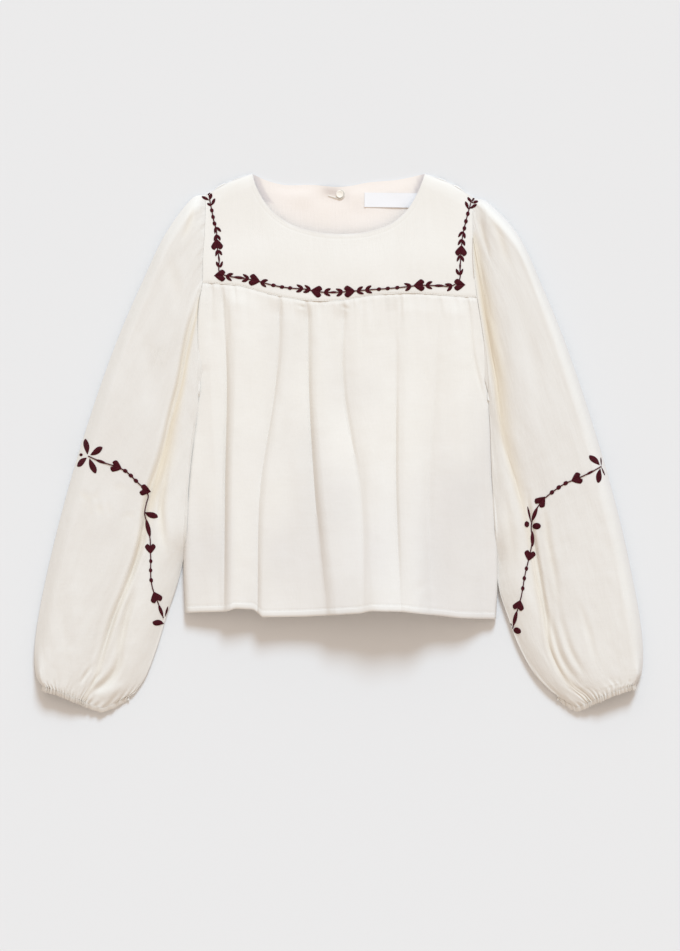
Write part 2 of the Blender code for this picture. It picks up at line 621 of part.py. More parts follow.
def flat_piece(name, outline, foot, thickness, finish):
    """A flat piece of cloth with its edge cut to an outline."""
    count = len(outline)
    low = [Vector((x, y, foot)) for x, y in outline]
    high = [Vector((x, y, foot + thickness)) for x, y in outline]
    caps = tessellate_polygon([low])
    triangles = [tuple(t) for t in caps] + [tuple(i + count for i in reversed(t)) for t in caps]
    for i in range(count):
        j = (i + 1) % count
        triangles += [(i, j, j + count), (i, j + count, i + count)]
    points = [np.array(p) for p in low + high]
    return add_object(name, closed_mesh(name, points, triangles), finish)


def make_label(finish):
    """The bare woven label inside the back neck."""
    half_x, half_y, height = LABEL_SIZE[0] / 2, LABEL_SIZE[1] / 2, LABEL_SIZE[2]
    turn = math.radians(LABEL_TURN)
    outline = []
    for x, y in ((-half_x, -half_y), (half_x, -half_y), (half_x, half_y), (-half_x, half_y)):
        outline.append((LABEL_AT[0] + x * math.cos(turn) - y * math.sin(turn),
                        LABEL_AT[1] + x * math.sin(turn) + y * math.cos(turn)))
    return flat_piece("neck_label", outline, GAUZE + LAY_GAP, height, finish)


def make_button(finish):
    """The small round button of the back neck's opening."""
    work = bmesh.new()
    bmesh.ops.create_cone(work, cap_ends=True, segments=20, radius1=BUTTON_RADIUS * MM,
                          radius2=BUTTON_RADIUS * 0.86 * MM, depth=BUTTON_HEIGHT * MM)
    mesh = bpy.data.meshes.new("back_button")
    work.to_mesh(mesh)
    work.free()
    made = add_object("back_button", mesh, finish)
    made.location = Vector((*BUTTON_AT, GAUZE + LAY_GAP + BUTTON_HEIGHT / 2)) * MM
    return made


def make_loop(finish):
    """The thread loop that holds the button, from the slit's other side round the button."""
    curve = bpy.data.curves.new("back_loop", "CURVE")
    curve.dimensions = "3D"
    curve.bevel_depth = LOOP_WIRE * MM
    curve.bevel_resolution = 1
    curve.use_fill_caps = True
    radius = BUTTON_RADIUS + LOOP_WIRE + LAY_GAP
    z = GAUZE + LAY_GAP + LOOP_WIRE
    points = [(SLIT_AT - 7.0, BUTTON_AT[1] + 1.5, z)]
    for k in range(13):
        turn = math.radians(118 - 236 * k / 12)
        points.append((BUTTON_AT[0] + radius * math.cos(turn), BUTTON_AT[1] + radius * math.sin(turn), z))
    points.append((SLIT_AT - 7.0, BUTTON_AT[1] - 1.5, z))
    spline = curve.splines.new("POLY")
    spline.points.add(len(points) - 1)
    for point, place in zip(spline.points, points):
        point.co = (*(Vector(place) * MM), 1)
    curve.materials.append(finish)
    made = bpy.data.objects.new("back_loop", curve)
    bpy.context.scene.collection.objects.link(made)
    return made


def main():
    for old in list(bpy.data.objects):
        bpy.data.objects.remove(old)
    gauze = material("cotton_gauze", CREAM)
    flat_piece("back", back_outline(), 0.0, GAUZE, gauze)
    make_yoke(gauze)
    make_front_panel(gauze)
    make_sleeve("left", LEFT_SLEEVE, LEFT_ARMHOLE, LEFT_VALLEY_START, -1, gauze)
    make_sleeve("right", RIGHT_SLEEVE, RIGHT_ARMHOLE, RIGHT_VALLEY_START, 1, gauze)
    make_label(material("label_tape", LABEL_WHITE))
    pearl = material("pearl_button", PEARL)
    make_button(pearl)
    make_loop(gauze)


main()
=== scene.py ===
"""The looks of a girl's embroidered cotton-gauze blouse, laid face up on a table.

X runs across the blouse, +Y towards the neck and +Z up. The tables are in millimetres and the
meshes in metres. Each cloth piece is a fine shell on the form of its solid, with its own gathers,
creases and turned edges, and the thread work lies on top of it.
"""

import math

import bmesh
import bpy
import numpy as np
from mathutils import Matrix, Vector
from mathutils.bvhtree import BVHTree

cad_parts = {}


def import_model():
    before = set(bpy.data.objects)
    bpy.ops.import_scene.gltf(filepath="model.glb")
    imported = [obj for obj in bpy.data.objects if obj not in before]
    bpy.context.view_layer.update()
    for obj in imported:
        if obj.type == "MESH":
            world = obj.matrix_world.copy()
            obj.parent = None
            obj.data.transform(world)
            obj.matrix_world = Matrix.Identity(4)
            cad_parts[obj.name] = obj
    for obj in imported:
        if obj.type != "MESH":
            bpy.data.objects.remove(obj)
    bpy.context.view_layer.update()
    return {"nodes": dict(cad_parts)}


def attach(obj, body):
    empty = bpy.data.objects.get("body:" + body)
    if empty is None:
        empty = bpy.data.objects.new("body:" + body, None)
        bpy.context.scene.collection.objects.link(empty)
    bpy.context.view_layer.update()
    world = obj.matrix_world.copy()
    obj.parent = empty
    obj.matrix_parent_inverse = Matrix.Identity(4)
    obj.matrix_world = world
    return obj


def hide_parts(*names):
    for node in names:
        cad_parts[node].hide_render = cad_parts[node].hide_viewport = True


MM = 0.001

# A height over the whole blouse, in metres
OVER_ALL = 0.2

# Painted shade: the gauze's colour is tinted warm in its folds and creases, where shade falls, and greyer
# where it stands high over the table and in shaded places
FOLD_SHADE_TINT = (0.985, 0.915, 0.79)
LOFT_SHADE_TINT = (0.82, 0.81, 0.838)
BODY_FOLD_SHADE = 0.2
CUFF_FOLD_SHADE = 0.1
MOST_CUFF_FOLD_SHADE = 0.2
LOFT_SHADE_SHARE = 0.34
LOFT_FROM = 17.0
LOFT_REACH = 20.0

# Cloth and seams
GAUZE = 1.2
LINED_YOKE = 2.0
LAY_GAP = 0.3
SEAM_GAP = 0.12
SEAM_DITCH = 0.55
SEAM_DITCH_WIDTH = 2.2
SIDE_TOP = GAUZE + LAY_GAP + GAUZE
SHOULDER_TOP = GAUZE + LAY_GAP + LINED_YOKE
HEM_DEPTH = 7.5
HEM_SWELL = 0.45
HEM_STITCH_IN = 0.4
HEM_STITCH_DIP = 0.45
HEM_EDGE_ROLL = 1.0
NECK_STITCH_IN = 5.5
NECK_DIP = 0.12
YOKE_STITCH_IN = 1.6

# Soft unevenness of the front's faces: height, how wide and how long it is, and its seed
PANEL_CRINKLES = ((0.55, 17.0, 130.0, 5), (0.16, 5.5, 34.0, 6), (0.3, 8.5, 52.0, 15), (0.1, 14.0, 9.0, 16))
HEM_PUCKERS = ((0.3, 5.0, 30.0, 8), (0.18, 2.4, 30.0, 9))
YOKE_CRINKLES = ((0.5, 30.0, 38.0, 11), (0.14, 5.0, 26.0, 12))

# The armholes, from the shoulder point down to the underarm: x, y
LEFT_ARMHOLE = ((-147.4, 274.0), (-148.5, 233.0), (-150.2, 207.0), (-151.0, 176.6),
                (-155.7, 152.0), (-157.3, 120.0), (-155.3, 82.6))
RIGHT_ARMHOLE = ((146.3, 271.0), (145.8, 233.0), (146.0, 200.0), (150.2, 160.6),
                 (155.5, 128.0), (163.4, 68.8))
ARMHOLE_LIFT = 9.0

# The side seams, from the underarm down to the hem: x, y
LEFT_SIDE = ((-155.3, 82.6), (-159.5, 33.0), (-166.1, -15.4), (-170.5, -72.6),
             (-172.2, -123.0), (-170.5, -185.4))
RIGHT_SIDE = ((163.4, 68.8), (166.7, 35.0), (169.4, -34.0), (173.3, -100.0),
              (173.3, -155.0), (171.6, -192.5))
UNDERARM_ROW = 0.26

# Edges that run across, from left to right: x, y
YOKE_SEAM = ((-151.0, 176.6), (-139.7, 176.0), (-121.0, 174.4), (-105.6, 172.2), (-89.1, 167.2),
             (-63.8, 161.2), (-44.0, 157.9), (-24.2, 156.4), (0.0, 157.0), (28.6, 161.7),
             (57.2, 164.3), (81.4, 165.0), (101.2, 163.7), (138.6, 161.0), (150.2, 160.6))
HEM_LINE = ((-170.5, -185.4), (-124.3, -183.7), (-115.0, -180.5), (-95.0, -181.5), (-85.0, -189.8),
            (-38.5, -189.2), (22.0, -185.4), (33.0, -182.6), (66.0, -183.2), (99.0, -187.0),
            (132.0, -190.9), (171.6, -192.5))
FRONT_NECK = ((-96.8, 297.0), (-92.4, 283.8), (-85.8, 270.6), (-74.8, 256.3), (-55.0, 242.0),
              (-27.5, 233.2), (2.2, 230.5), (33.0, 233.8), (59.4, 244.2), (74.8, 258.5),
              (84.7, 275.0), (93.5, 297.0))
BACK_NECK = ((-96.8, 297.0), (-79.2, 289.3), (-66.0, 285.7), (-28.6, 284.9), (-3.3, 282.6),
             (11.0, 283.8), (28.6, 287.2), (66.0, 291.0), (93.5, 297.0))
LEFT_SHOULDER = ((-147.4, 274.0), (-122.0, 288.0), (-96.8, 297.0))
RIGHT_SHOULDER = ((93.5, 297.0), (121.0, 286.5), (146.3, 271.0))

# How high the yoke's face stands over the table at its middle, by y
YOKE_LOFT = ((157.0, 18.0), (200.0, 16.0), (231.0, 12.5), (260.0, 10.0), (297.0, 8.0))
YOKE_CROWN = 0.28
SHOULDER_ROUND = 16.0
ARMHOLE_ROUND = 24.0

# The gathered front's fold lines, left to right. x and z at four rows: the yoke seam, the chest, the
# waist and the hem. A valley is a sharp crease, a ridge a round crest, a flank the slope between.
FOLD_ROWS = (0.0, 0.272, 0.593, 1.0)
FOLD_COLUMNS = ("kind", "steps", "x_seam", "x_chest", "x_waist", "x_hem",
                "z_seam", "z_chest", "z_waist", "z_hem")
FOLDS = (
    ("ridge", 5, -143.0, -142.0, -137.0, -136.0, 14.0, 14.5, 15.5, 17.0),
    ("valley", 4, -129.0, -124.3, -126.0, -127.0, 12.5, 12.5, 13.5, 19.5),
    ("ridge", 4, -112.0, -113.0, -117.0, -118.0, 17.0, 20.5, 23.5, 26.0),
    ("valley", 5, -66.0, -70.4, -86.9, -90.5, 14.5, 15.0, 18.5, 21.0),
    ("ridge", 3, -54.0, -60.0, -79.0, -85.0, 17.5, 20.0, 24.0, 25.5),
    ("flank", 3, -43.5, -47.0, -55.0, -50.0, 16.5, 17.5, 20.5, 23.5),
    ("valley", 3, -35.2, -34.1, -28.0, -14.0, 14.5, 14.5, 18.5, 28.5),
    ("ridge", 4, -20.0, -24.0, -17.0, 0.0, 18.0, 21.5, 27.5, 35.0),
    ("valley", 4, 3.9, 3.3, 21.0, 26.0, 15.0, 15.5, 20.5, 40.0),
    ("ridge", 4, 20.0, 22.0, 42.0, 45.0, 18.0, 19.5, 25.5, 46.0),
    ("valley", 5, 61.6, 61.6, 61.5, 66.0, 15.5, 17.0, 22.5, 41.5),
    ("ridge", 4, 76.0, 74.0, 71.0, 76.0, 17.5, 20.5, 26.5, 42.5),
    ("valley", 4, 110.0, 104.0, 97.0, 100.0, 15.5, 16.5, 19.5, 30.0),
    ("ridge", 3, 124.0, 124.0, 119.0, 120.0, 16.5, 18.5, 21.5, 26.0),
    ("valley", 3, 140.0, 149.0, 151.8, 155.1, 13.0, 11.5, 13.0, 15.0),
    ("ridge", 2, 145.0, 156.0, 160.0, 163.0, 12.5, 11.0, 11.5, 12.0),
)
LAST_STEPS = 4
SEAM_SWELL = 0.06
PANEL_FINENESS = 3
SIDE_COLUMNS = 6.0

# Gathers that start at the yoke seam: x at the seam, x at the tip, y of the tip, width, depth
SEAM_GATHERS = (
    (-140.8, -141.5, 103.4, 2.0, 1.3), (-129.8, -127.0, 119.9, 1.6, 1.1), (-116.0, -114.0, 138.0, 1.5, 0.9),
    (-104.5, -103.0, 125.4, 1.6, 1.0), (-90.0, -89.0, 140.0, 1.4, 0.7), (-78.0, -79.0, 134.0, 1.5, 0.8),
    (-66.0, -67.5, 108.9, 1.8, 1.2), (-50.0, -51.0, 132.0, 1.4, 0.7), (-36.3, -35.0, 103.4, 2.0, 1.2),
    (-22.0, -21.0, 130.0, 1.5, 0.8), (-9.0, -9.5, 136.0, 1.3, 0.7), (3.3, 3.0, 114.4, 1.7, 1.3),
    (14.0, 13.5, 138.0, 1.3, 0.7), (24.2, 25.0, 103.4, 1.8, 1.2), (34.1, 35.0, 125.4, 1.5, 1.0),
    (49.5, 50.0, 119.9, 1.6, 1.1), (58.0, 58.0, 140.0, 1.3, 0.7), (66.0, 66.0, 114.4, 1.6, 1.1),
    (80.0, 81.0, 134.0, 1.4, 0.8), (93.5, 94.5, 108.9, 1.7, 1.1), (109.0, 111.0, 132.0, 1.5, 0.8),
    (126.5, 129.0, 114.4, 1.7, 1.1), (139.0, 142.0, 126.0, 1.6, 1.0),
)
FINE_GATHER_PITCH = 4.6
FINE_GATHER_REACH = 13.0
FINE_GATHER_LIFT = 0.24

# The sleeves, a row for each section from the armhole to the cuff. The outer and inner edge in plan, the
# height of the main lobe, the lengthwise valley's place across the sleeve and its height, the height
# of the inner lobe, and how far the middle of the section bows towards the hand.
SLEEVE_COLUMNS = ("out_x", "out_y", "in_x", "in_y", "lobe", "valley_at", "valley", "inner", "bow")
LEFT_SLEEVE = (
    (-164.0, 268.5, -158.4, 66.0, 17.0, 0.64, 15.0, 14.5, 0.0),
    (-193.0, 229.0, -159.6, 44.0, 20.5, 0.70, 15.0, 15.0, 0.0),
    (-219.0, 174.0, -162.4, 20.0, 22.5, 0.74, 15.5, 15.0, 0.0),
    (-242.0, 121.0, -166.4, -10.0, 23.5, 0.73, 15.5, 15.0, 0.0),
    (-262.5, 66.0, -169.4, -38.0, 24.5, 0.72, 15.5, 15.5, 0.0),
    (-280.0, 13.0, -171.4, -67.0, 24.0, 0.69, 16.0, 16.0, 0.0),
    (-296.0, -40.0, -173.0, -100.0, 23.5, 0.65, 16.0, 17.0, 0.0),
    (-310.0, -92.0, -173.4, -130.0, 23.0, 0.64, 16.0, 17.0, 0.0),
    (-322.5, -145.0, -180.5, -159.0, 22.0, 0.63, 16.0, 16.5, 0.0),
    (-331.0, -188.0, -190.5, -188.0, 21.0, 0.60, 15.5, 16.0, 2.0),
    (-335.5, -224.0, -200.5, -221.0, 20.0, 0.57, 15.0, 15.0, 5.0),
    (-335.0, -249.0, -212.5, -253.0, 19.0, 0.54, 14.0, 13.0, 10.0),
    (-332.0, -259.5, -223.0, -269.5, 18.0, 0.51, 12.5, 11.0, 14.5),
    (-327.5, -265.5, -231.5, -276.0, 16.5, 0.49, 11.0, 8.5, 17.0),
)
RIGHT_SLEEVE = (
    (164.5, 264.0, 167.0, 54.0, 17.5, 0.70, 13.5, 13.5, 0.0),
    (197.0, 228.0, 167.6, 38.0, 21.0, 0.79, 14.5, 14.5, 0.0),
    (222.0, 174.0, 168.9, 15.0, 23.0, 0.83, 15.0, 15.5, 0.0),
    (244.0, 121.0, 169.7, -12.0, 24.0, 0.83, 15.5, 16.0, 0.0),
    (263.5, 66.0, 170.9, -39.0, 25.0, 0.80, 16.0, 17.0, 0.0),
    (280.5, 13.0, 172.6, -68.0, 25.0, 0.765, 16.5, 16.8, 0.0),
    (296.0, -40.0, 174.4, -98.0, 24.5, 0.735, 17.0, 17.8, 0.0),
    (309.5, -92.0, 173.2, -128.0, 24.0, 0.72, 16.0, 17.0, 0.0),
    (321.0, -145.0, 174.5, -158.0, 23.0, 0.715, 16.0, 16.5, 0.0),
    (329.5, -191.0, 184.5, -190.0, 22.0, 0.722, 15.5, 16.0, 2.0),
    (333.0, -226.0, 196.5, -222.0, 21.0, 0.74, 15.0, 15.0, 5.0),
    (332.0, -249.0, 213.0, -252.0, 19.5, 0.70, 14.0, 13.0, 10.0),
    (329.0, -257.5, 230.0, -270.0, 18.0, 0.64, 12.5, 11.0, 14.0),
    (325.0, -263.5, 239.0, -276.5, 16.5, 0.62, 11.0, 8.5, 15.5),
)
LOBE_STEPS = 84
INNER_STEPS = 46
UNDER_STEPS = 26
SLEEVE_ROWS = 150
UPPER = LOBE_STEPS + INNER_STEPS + 1
OUTER_EDGE = 5.5
INNER_ROUND = 32.0
LOBE_FALL = 0.46
INNER_RISE = 0.5
LEAST_LOFT = 2.6

# Towards the cuff the outer side is less round and the creases' painted warm shade weaker: how much,
# from which y, over what length
SLIMMER = (0.7, -215.0, 45.0)
COOLER = (0.6, -70.0, 90.0)

HEAD_DITCH_REACH = 20.0
RIM_REACH = 15.0

# Gathers round a sleeve: how many, from and to where across it, their longest reach, width and depth
HEAD_GATHERS = (12, 0.02, 0.55, 40.0, 0.014, 0.4)
CUFF_GATHERS = (26, 0.04, 0.97, 26.0, 0.0085, 1.5)

# Creases pressed into the sleeves: path, width and depth. A ridge has a depth below 0.
LEFT_CREASES = (
    (((-154.0, 166.0), (-167.6, 119.9), (-177.1, 67.1), (-185.9, 33.0), (-198.0, -20.0)), 2.0, 2.2),
    (((-186.0, 30.0), (-196.9, -15.4), (-212.3, -61.6), (-217.5, -111.0), (-233.0, -155.0)), 2.6, 2.4),
    (((-217.0, -105.0), (-231.0, -148.5), (-246.4, -184.8), (-257.4, -220.0), (-267.3, -254.0)), 2.8, 3.4),
    (((-184.0, 10.0), (-192.0, -35.0), (-196.0, -74.0), (-191.0, -120.0)), 3.2, 2.0),
    (((-225.5, -161.7), (-233.2, -187.0), (-239.5, -215.0), (-243.5, -240.0)), 3.0, 2.6),
    (((-239.0, -226.0), (-246.0, -248.0), (-258.0, -263.0), (-272.0, -273.0)), 3.4, 3.4),
    (((-238.0, -263.0), (-250.0, -272.0), (-262.0, -281.0)), 5.0, -1.8),
    (((-284.0, -262.0), (-278.0, -252.0), (-272.0, -244.0)), 1.8, 1.6),
    (((-274.0, -268.0), (-268.0, -258.0), (-262.0, -250.0)), 1.8, 1.6),
    (((-231.0, -150.0), (-243.0, -184.0), (-252.0, -216.0), (-262.0, -244.0)), 4.0, -1.6),
    (((-196.9, -57.2), (-198.0, -83.6)), 2.2, 1.0),
    (((-283.0, -64.0), (-270.5, -65.5)), 2.0, 0.45),
    (((-288.0, -55.0), (-274.0, -57.5), (-261.0, -57.0)), 1.6, 0.8),
    (((-282.0, -66.5), (-268.0, -69.0), (-250.0, -68.0)), 1.5, 0.7),
    (((-276.0, -75.0), (-262.0, -73.5), (-246.0, -75.5)), 1.5, 0.6),
    (((-209.0, 105.5), (-200.0, 103.5), (-189.0, 104.0)), 1.5, 0.6),
    (((-207.0, 96.5), (-197.0, 98.0), (-187.0, 96.0)), 1.4, 0.5),
    (((-212.0, 87.0), (-202.0, 88.5), (-191.0, 86.5)), 1.5, 0.5),
    (((-250.0, -47.0), (-231.0, -49.0)), 2.4, 0.5),
    (((-239.0, -79.0), (-223.0, -77.5)), 2.0, 0.6),
    (((-160.5, 262.0), (-166.0, 240.0), (-172.0, 224.0)), 2.2, 1.0),
    (((-188.0, 205.0), (-181.0, 178.0), (-178.0, 150.0)), 5.0, 1.0),
    (((-213.0, 120.0), (-209.0, 80.0), (-211.0, 40.0)), 7.0, 1.1),
    (((-300.0, -150.0), (-304.0, -195.0), (-300.0, -228.0)), 6.0, 1.1),
    (((-276.0, -90.0), (-284.0, -140.0), (-287.0, -190.0)), 8.0, 0.9),
)
RIGHT_CREASES = (
    (((205.0, -51.0), (211.0, -95.0), (216.5, -131.0), (224.0, -175.0), (235.0, -238.0),
      (249.0, -262.0)), 2.2, 2.4),
    (((223.0, -66.0), (228.0, -105.0), (236.0, -150.0), (240.0, -180.0)), 3.0, 1.2),
    (((225.5, -171.6), (233.0, -205.0), (247.5, -244.0), (262.0, -262.0)), 3.4, 2.0),
    (((241.0, -190.0), (252.0, -225.0), (268.0, -254.0)), 3.0, 1.3),
    (((262.0, -175.0), (272.0, -205.0), (280.0, -240.0)), 3.0, 0.9),
    (((183.0, -60.0), (187.0, -100.0), (190.0, -140.0)), 4.0, 0.9),
    (((152.0, 252.0), (158.0, 226.0), (164.0, 205.0)), 2.4, 1.0),
    (((166.0, 250.0), (177.0, 222.0), (184.0, 195.0)), 3.2, 1.0),
    (((205.0, 120.0), (214.0, 80.0), (216.0, 40.0)), 7.0, 1.0),
    (((300.0, -120.0), (303.0, -170.0), (297.0, -215.0)), 8.0, 1.0),
)

# How far the painted warm shade reaches beside the lengthwise valley: y, on the lobe, on the inner lobe,
# strength
LEFT_VALLEY_SHADE = ((270.0, 1.5, 1.5, 0.0), (180.0, 2.0, 1.6, 0.5), (120.0, 2.2, 1.8, 0.8), (50.0, 2.6, 4.0, 0.9),
             (-20.0, 4.0, 10.0, 1.0), (-70.0, 4.0, 8.0, 0.7), (-130.0, 3.0, 5.0, 0.45),
             (-200.0, 3.0, 4.0, 0.3), (-280.0, 3.0, 3.0, 0.25))
RIGHT_VALLEY_SHADE = ((250.0, 2.0, 2.0, 0.3), (215.0, 7.0, 3.0, 0.8), (150.0, 10.0, 4.0, 1.0), (80.0, 11.0, 4.0, 1.0),
              (20.0, 10.0, 4.0, 0.8), (-20.0, 8.0, 4.0, 0.65), (-80.0, 6.0, 4.0, 0.5),
              (-150.0, 6.0, 4.0, 0.45), (-215.0, 6.0, 4.0, 0.4), (-290.0, 5.0, 3.0, 0.3))

# Creases of the front, in the same terms, and how much of their depth its cloth takes
BODY_CREASE_SHARE = 0.62
BODY_CREASES = (
    (((-126.5, 150.0), (-124.3, 66.0), (-125.5, -11.0), (-126.5, -100.0), (-127.0, -184.0)), 1.7, 1.3),
    (((-67.0, 158.0), (-66.0, 112.0), (-70.4, 66.0), (-77.0, 28.0), (-86.0, -38.0)), 1.6, 1.2),
    (((-34.9, 155.0), (-33.7, 112.0), (-33.8, 50.0), (-31.0, 4.0), (-26.5, -60.0),
      (-18.0, -125.0)), 1.8, 1.1),
    (((4.0, 138.0), (3.2, 79.0), (7.0, 40.0), (14.0, 0.0), (21.0, -42.0)), 1.6, 1.2),
    (((20.2, 146.0), (24.2, 99.0)), 1.4, 1.0),
    (((44.8, 150.0), (46.4, 112.0)), 1.4, 0.9),
    (((63.0, 96.0), (61.5, 30.0), (61.5, -52.0), (63.0, -95.0), (65.8, -180.0)), 1.6, 1.3),
    (((142.0, 146.0), (146.5, 96.0), (152.5, 70.0), (160.0, 44.0)), 1.8, 1.6),
    (((-124.0, 158.0), (-122.5, 134.0), (-123.0, 104.0)), 1.6, 1.0),
    (((93.5, 90.0), (95.5, 66.0)), 1.5, 0.8),
    (((84.0, 104.0), (86.0, 78.0)), 1.5, 0.6),
    (((-47.0, 152.0), (-37.0, 149.0)), 1.7, 0.8),
    (((1.0, 151.5), (11.0, 147.0)), 1.7, 0.8),
    (((24.0, -15.0), (26.0, -80.0), (27.0, -150.0)), 3.0, 1.0),
    (((100.0, 20.0), (97.0, -60.0), (99.0, -140.0)), 4.0, 1.0),
    (((-56.0, -20.0), (-52.0, -90.0), (-50.0, -150.0)), 7.0, 1.0),
    (((-150.0, 40.0), (-153.0, -40.0), (-156.0, -120.0)), 7.0, 1.0),
    (((122.0, 60.0), (128.0, -20.0), (131.0, -90.0)), 5.0, 0.9),
    (((92.0, -150.0), (84.0, -163.0)), 4.0, 0.8),
)

# Where a sleeve's inner edge laps on to the body's side: how far, how close above it, from and to which
# y, and how soft its ends are. Then its lip and roundness, and where the lap starts along the armhole.
LAP = 4.0
LAP_CLEAR = 0.35
LAP_FROM = 96.0
LAP_TO = -140.0
LAP_FADE = 22.0
LAP_END_FADE = 44.0
LAP_LIP = 0.5
LAP_ARMHOLE = 0.72
LAP_FULL = 0.97
LAP_COLUMNS = 24
LAP_LIP_ROUND = 1.3
LAP_ROUND = 24.0

# Each sleeve: which way it goes and its tables. Then where the valley starts across its head, how much
# painted shade greys its outer rim, how round its outer side, how high its inner edge, and where its cuff
# hangs lowest.
SIDES = {
    "left": {"outward": -1, "armhole": LEFT_ARMHOLE, "sections": LEFT_SLEEVE, "creases": LEFT_CREASES,
             "valley_shading": LEFT_VALLEY_SHADE, "valley_start": 0.60, "rim": 0.0, "round": 18.0, "inner_edge": 3.2,
             "lowest": 0.70, "seed": 31},
    "right": {"outward": 1, "armhole": RIGHT_ARMHOLE, "sections": RIGHT_SLEEVE, "creases": RIGHT_CREASES,
              "valley_shading": RIGHT_VALLEY_SHADE, "valley_start": 0.22, "rim": 0.5, "round": 17.0, "inner_edge": 5.5,
              "lowest": 0.78, "seed": 51},
}

# The elastic cuffs: their length past the sleeve and their wall, and how they swell, tilt and ruche
CUFF_LENGTH = 5.2
CUFF_SWELL = 0.35
CUFF_SCALLOPS = 17
CUFF_TILT = 2.6
CUFF_ROWS = 14
CUFF_LIP = 0.9
CUFF_RUCHE = 0.9
CASING = 1.26

# The back neck's opening and placket, the back's shorter hem, its button and bare label
SLIT_AT = -6.0
SLIT_DEPTH = 62.0
BACK_HEM_SHORT = 4.0
BUTTON_AT = (-0.2, 274.6)
BUTTON_PROFILE = ((0.0, 1.55), (1.9, 1.6), (2.7, 1.75), (3.3, 2.0), (3.8, 2.15), (4.15, 1.9), (4.2, 1.3),
                  (3.9, 0.5), (3.2, 0.05), (0.0, 0.0))
PLACKET_AT = -8.5
PLACKET_LIFT = 3.0

LABEL_AT = (60.2, 268.0)
LABEL_SIZE = (66.6, 15.8)
LABEL_BASE = GAUZE + LAY_GAP + 0.95
LABEL_TURN = -0.8

# Embroidery: the threads, the stem's stitches as pitch, length and radius, and the motifs as length by
# width. A satin thread arches from side to side: share of its length, and height over the cloth, which
# a thread shorter than FULL_ARCH has only in part.
THREAD = 0.24
THREAD_PITCH = 0.42
THREAD_CLEAR = 0.05
SATIN_ARCH = ((0.0, 0.05), (0.14, 0.62), (0.5, 0.85), (0.86, 0.62), (1.0, 0.05))
FULL_ARCH = 4.0
STEM_LIFT = 0.5
STEM_STITCH = (0.9, 2.2, 0.66)
SIZES = {"heart": (12.4, 13.0), "leaf": (8.3, 3.2), "spindle": (13.0, 3.1), "bead": (4.9, 3.9),
         "petal": (14.0, 6.6), "sliver": (14.0, 2.0)}
PAIR_TURN = 38.0

# Each vine is a stem and its motifs in order: kind, x, y, turn from the stem's way, size
YOKE_STEM = ((-144.2, 274.6), (-143.0, 268.0), (-141.7, 261.0), (-140.8, 256.6), (-139.4, 249.3),
             (-137.8, 242.0), (-136.0, 236.2), (-135.1, 219.3), (-132.8, 203.0), (-131.3, 187.5),
             (-121.9, 184.0), (-110.7, 182.4), (-93.5, 179.4), (-73.0, 173.9), (-54.8, 170.9), (-35.5, 169.3),
             (-26.1, 167.2), (-8.2, 166.1), (10.7, 167.2), (30.7, 168.9), (52.4, 170.4),
             (74.8, 172.5), (86.5, 173.9), (108.6, 173.5), (124.0, 173.9), (130.4, 179.0),
             (131.8, 193.6), (133.0, 212.4), (134.9, 230.3), (138.3, 244.6), (140.4, 252.9),
             (142.3, 259.6), (144.0, 266.0))
YOKE_MOTIFS = (
    ("leaf", -144.0, 274.5, "to", -152.2, 274.7), ("leaf", -143.8, 274.8, "to", -140.2, 279.0),
    ("leaf", -143.8, 267.6, "to", -151.8, 272.2), ("leaf", -142.9, 268.6, "to", -141.0, 275.4),
    ("leaf", -141.6, 261.8, "to", -137.2, 269.6), ("leaf", -141.4, 261.0, "to", -145.8, 264.8),
    ("bead", -140.8, 256.6, 0, 0.95), ("bead", -139.4, 249.3, 0, 0.95), ("bead", -137.8, 242.0, 0, 1.0),
    ("pair", -136.0, 238.2, 0, 0.9), ("pair", -135.1, 229.8, 0, 0.9), ("heart", -135.1, 219.3, 180, 1.0),
    ("pair", -134.0, 213.0, 0, 0.9), ("spindle", -132.8, 203.4, 0, 0.62), ("pair", -132.0, 193.7, 180, 0.9),
    ("heart_set", -131.9, 184.7, 180, 1.0), ("pair", -124.9, 184.4, 0, 1.0),
    ("spindle", -110.7, 182.4, 0, 1.0), ("pair", -100.0, 181.0, 180, 1.0), ("heart", -93.5, 179.4, 0, 1.0),
    ("pair", -86.9, 177.6, 0, 1.0), ("bead", -73.0, 173.9, 0, 1.0), ("bead", -63.6, 172.0, 0, 1.0),
    ("bead", -54.8, 170.9, 0, 1.0), ("pair", -40.6, 170.0, 180, 1.0), ("pair", -32.5, 168.7, 180, 1.0),
    ("heart", -26.1, 167.2, 180, 1.0), ("pair", -17.5, 166.5, 0, 1.0), ("spindle", -7.4, 166.2, 0, 0.75),
    ("pair", 3.0, 166.6, 180, 1.0), ("heart", 10.7, 167.2, 0, 1.0), ("pair", 18.4, 167.6, 0, 1.0),
    ("pair", 27.7, 168.7, 0, 1.0), ("bead", 42.7, 169.6, 0, 1.0), ("bead", 52.4, 170.4, 0, 1.0),
    ("bead", 62.7, 171.3, 0, 1.0), ("pair", 78.0, 172.9, 180, 1.0), ("heart", 86.5, 173.9, 180, 1.0),
    ("pair", 94.0, 174.1, 0, 1.0), ("spindle", 108.6, 173.5, 0, 0.95), ("pair", 123.1, 173.6, 180, 1.0),
    ("heart_set", 131.3, 174.6, 0, 1.0), ("pair", 131.0, 185.2, 0, 0.95), ("spindle", 131.8, 195.2, 0, 0.62),
    ("pair", 132.3, 207.0, 180, 0.95), ("heart", 133.0, 212.4, 0, 1.0), ("pair", 133.9, 224.7, 180, 0.95),
    ("pair", 134.9, 233.1, 180, 0.95), ("bead", 136.6, 236.8, 0, 1.0), ("bead", 138.3, 244.6, 0, 1.0),
    ("bead", 140.4, 252.9, 0, 1.0), ("leaf", 143.9, 265.4, "to", 140.6, 271.4),
    ("leaf", 144.2, 265.4, "to", 151.9, 266.3), ("leaf", 143.9, 266.6, "to", 147.8, 270.0),
    ("leaf", 141.0, 257.6, "to", 138.0, 266.6), ("leaf", 142.0, 258.6, "to", 150.4, 263.0),
)
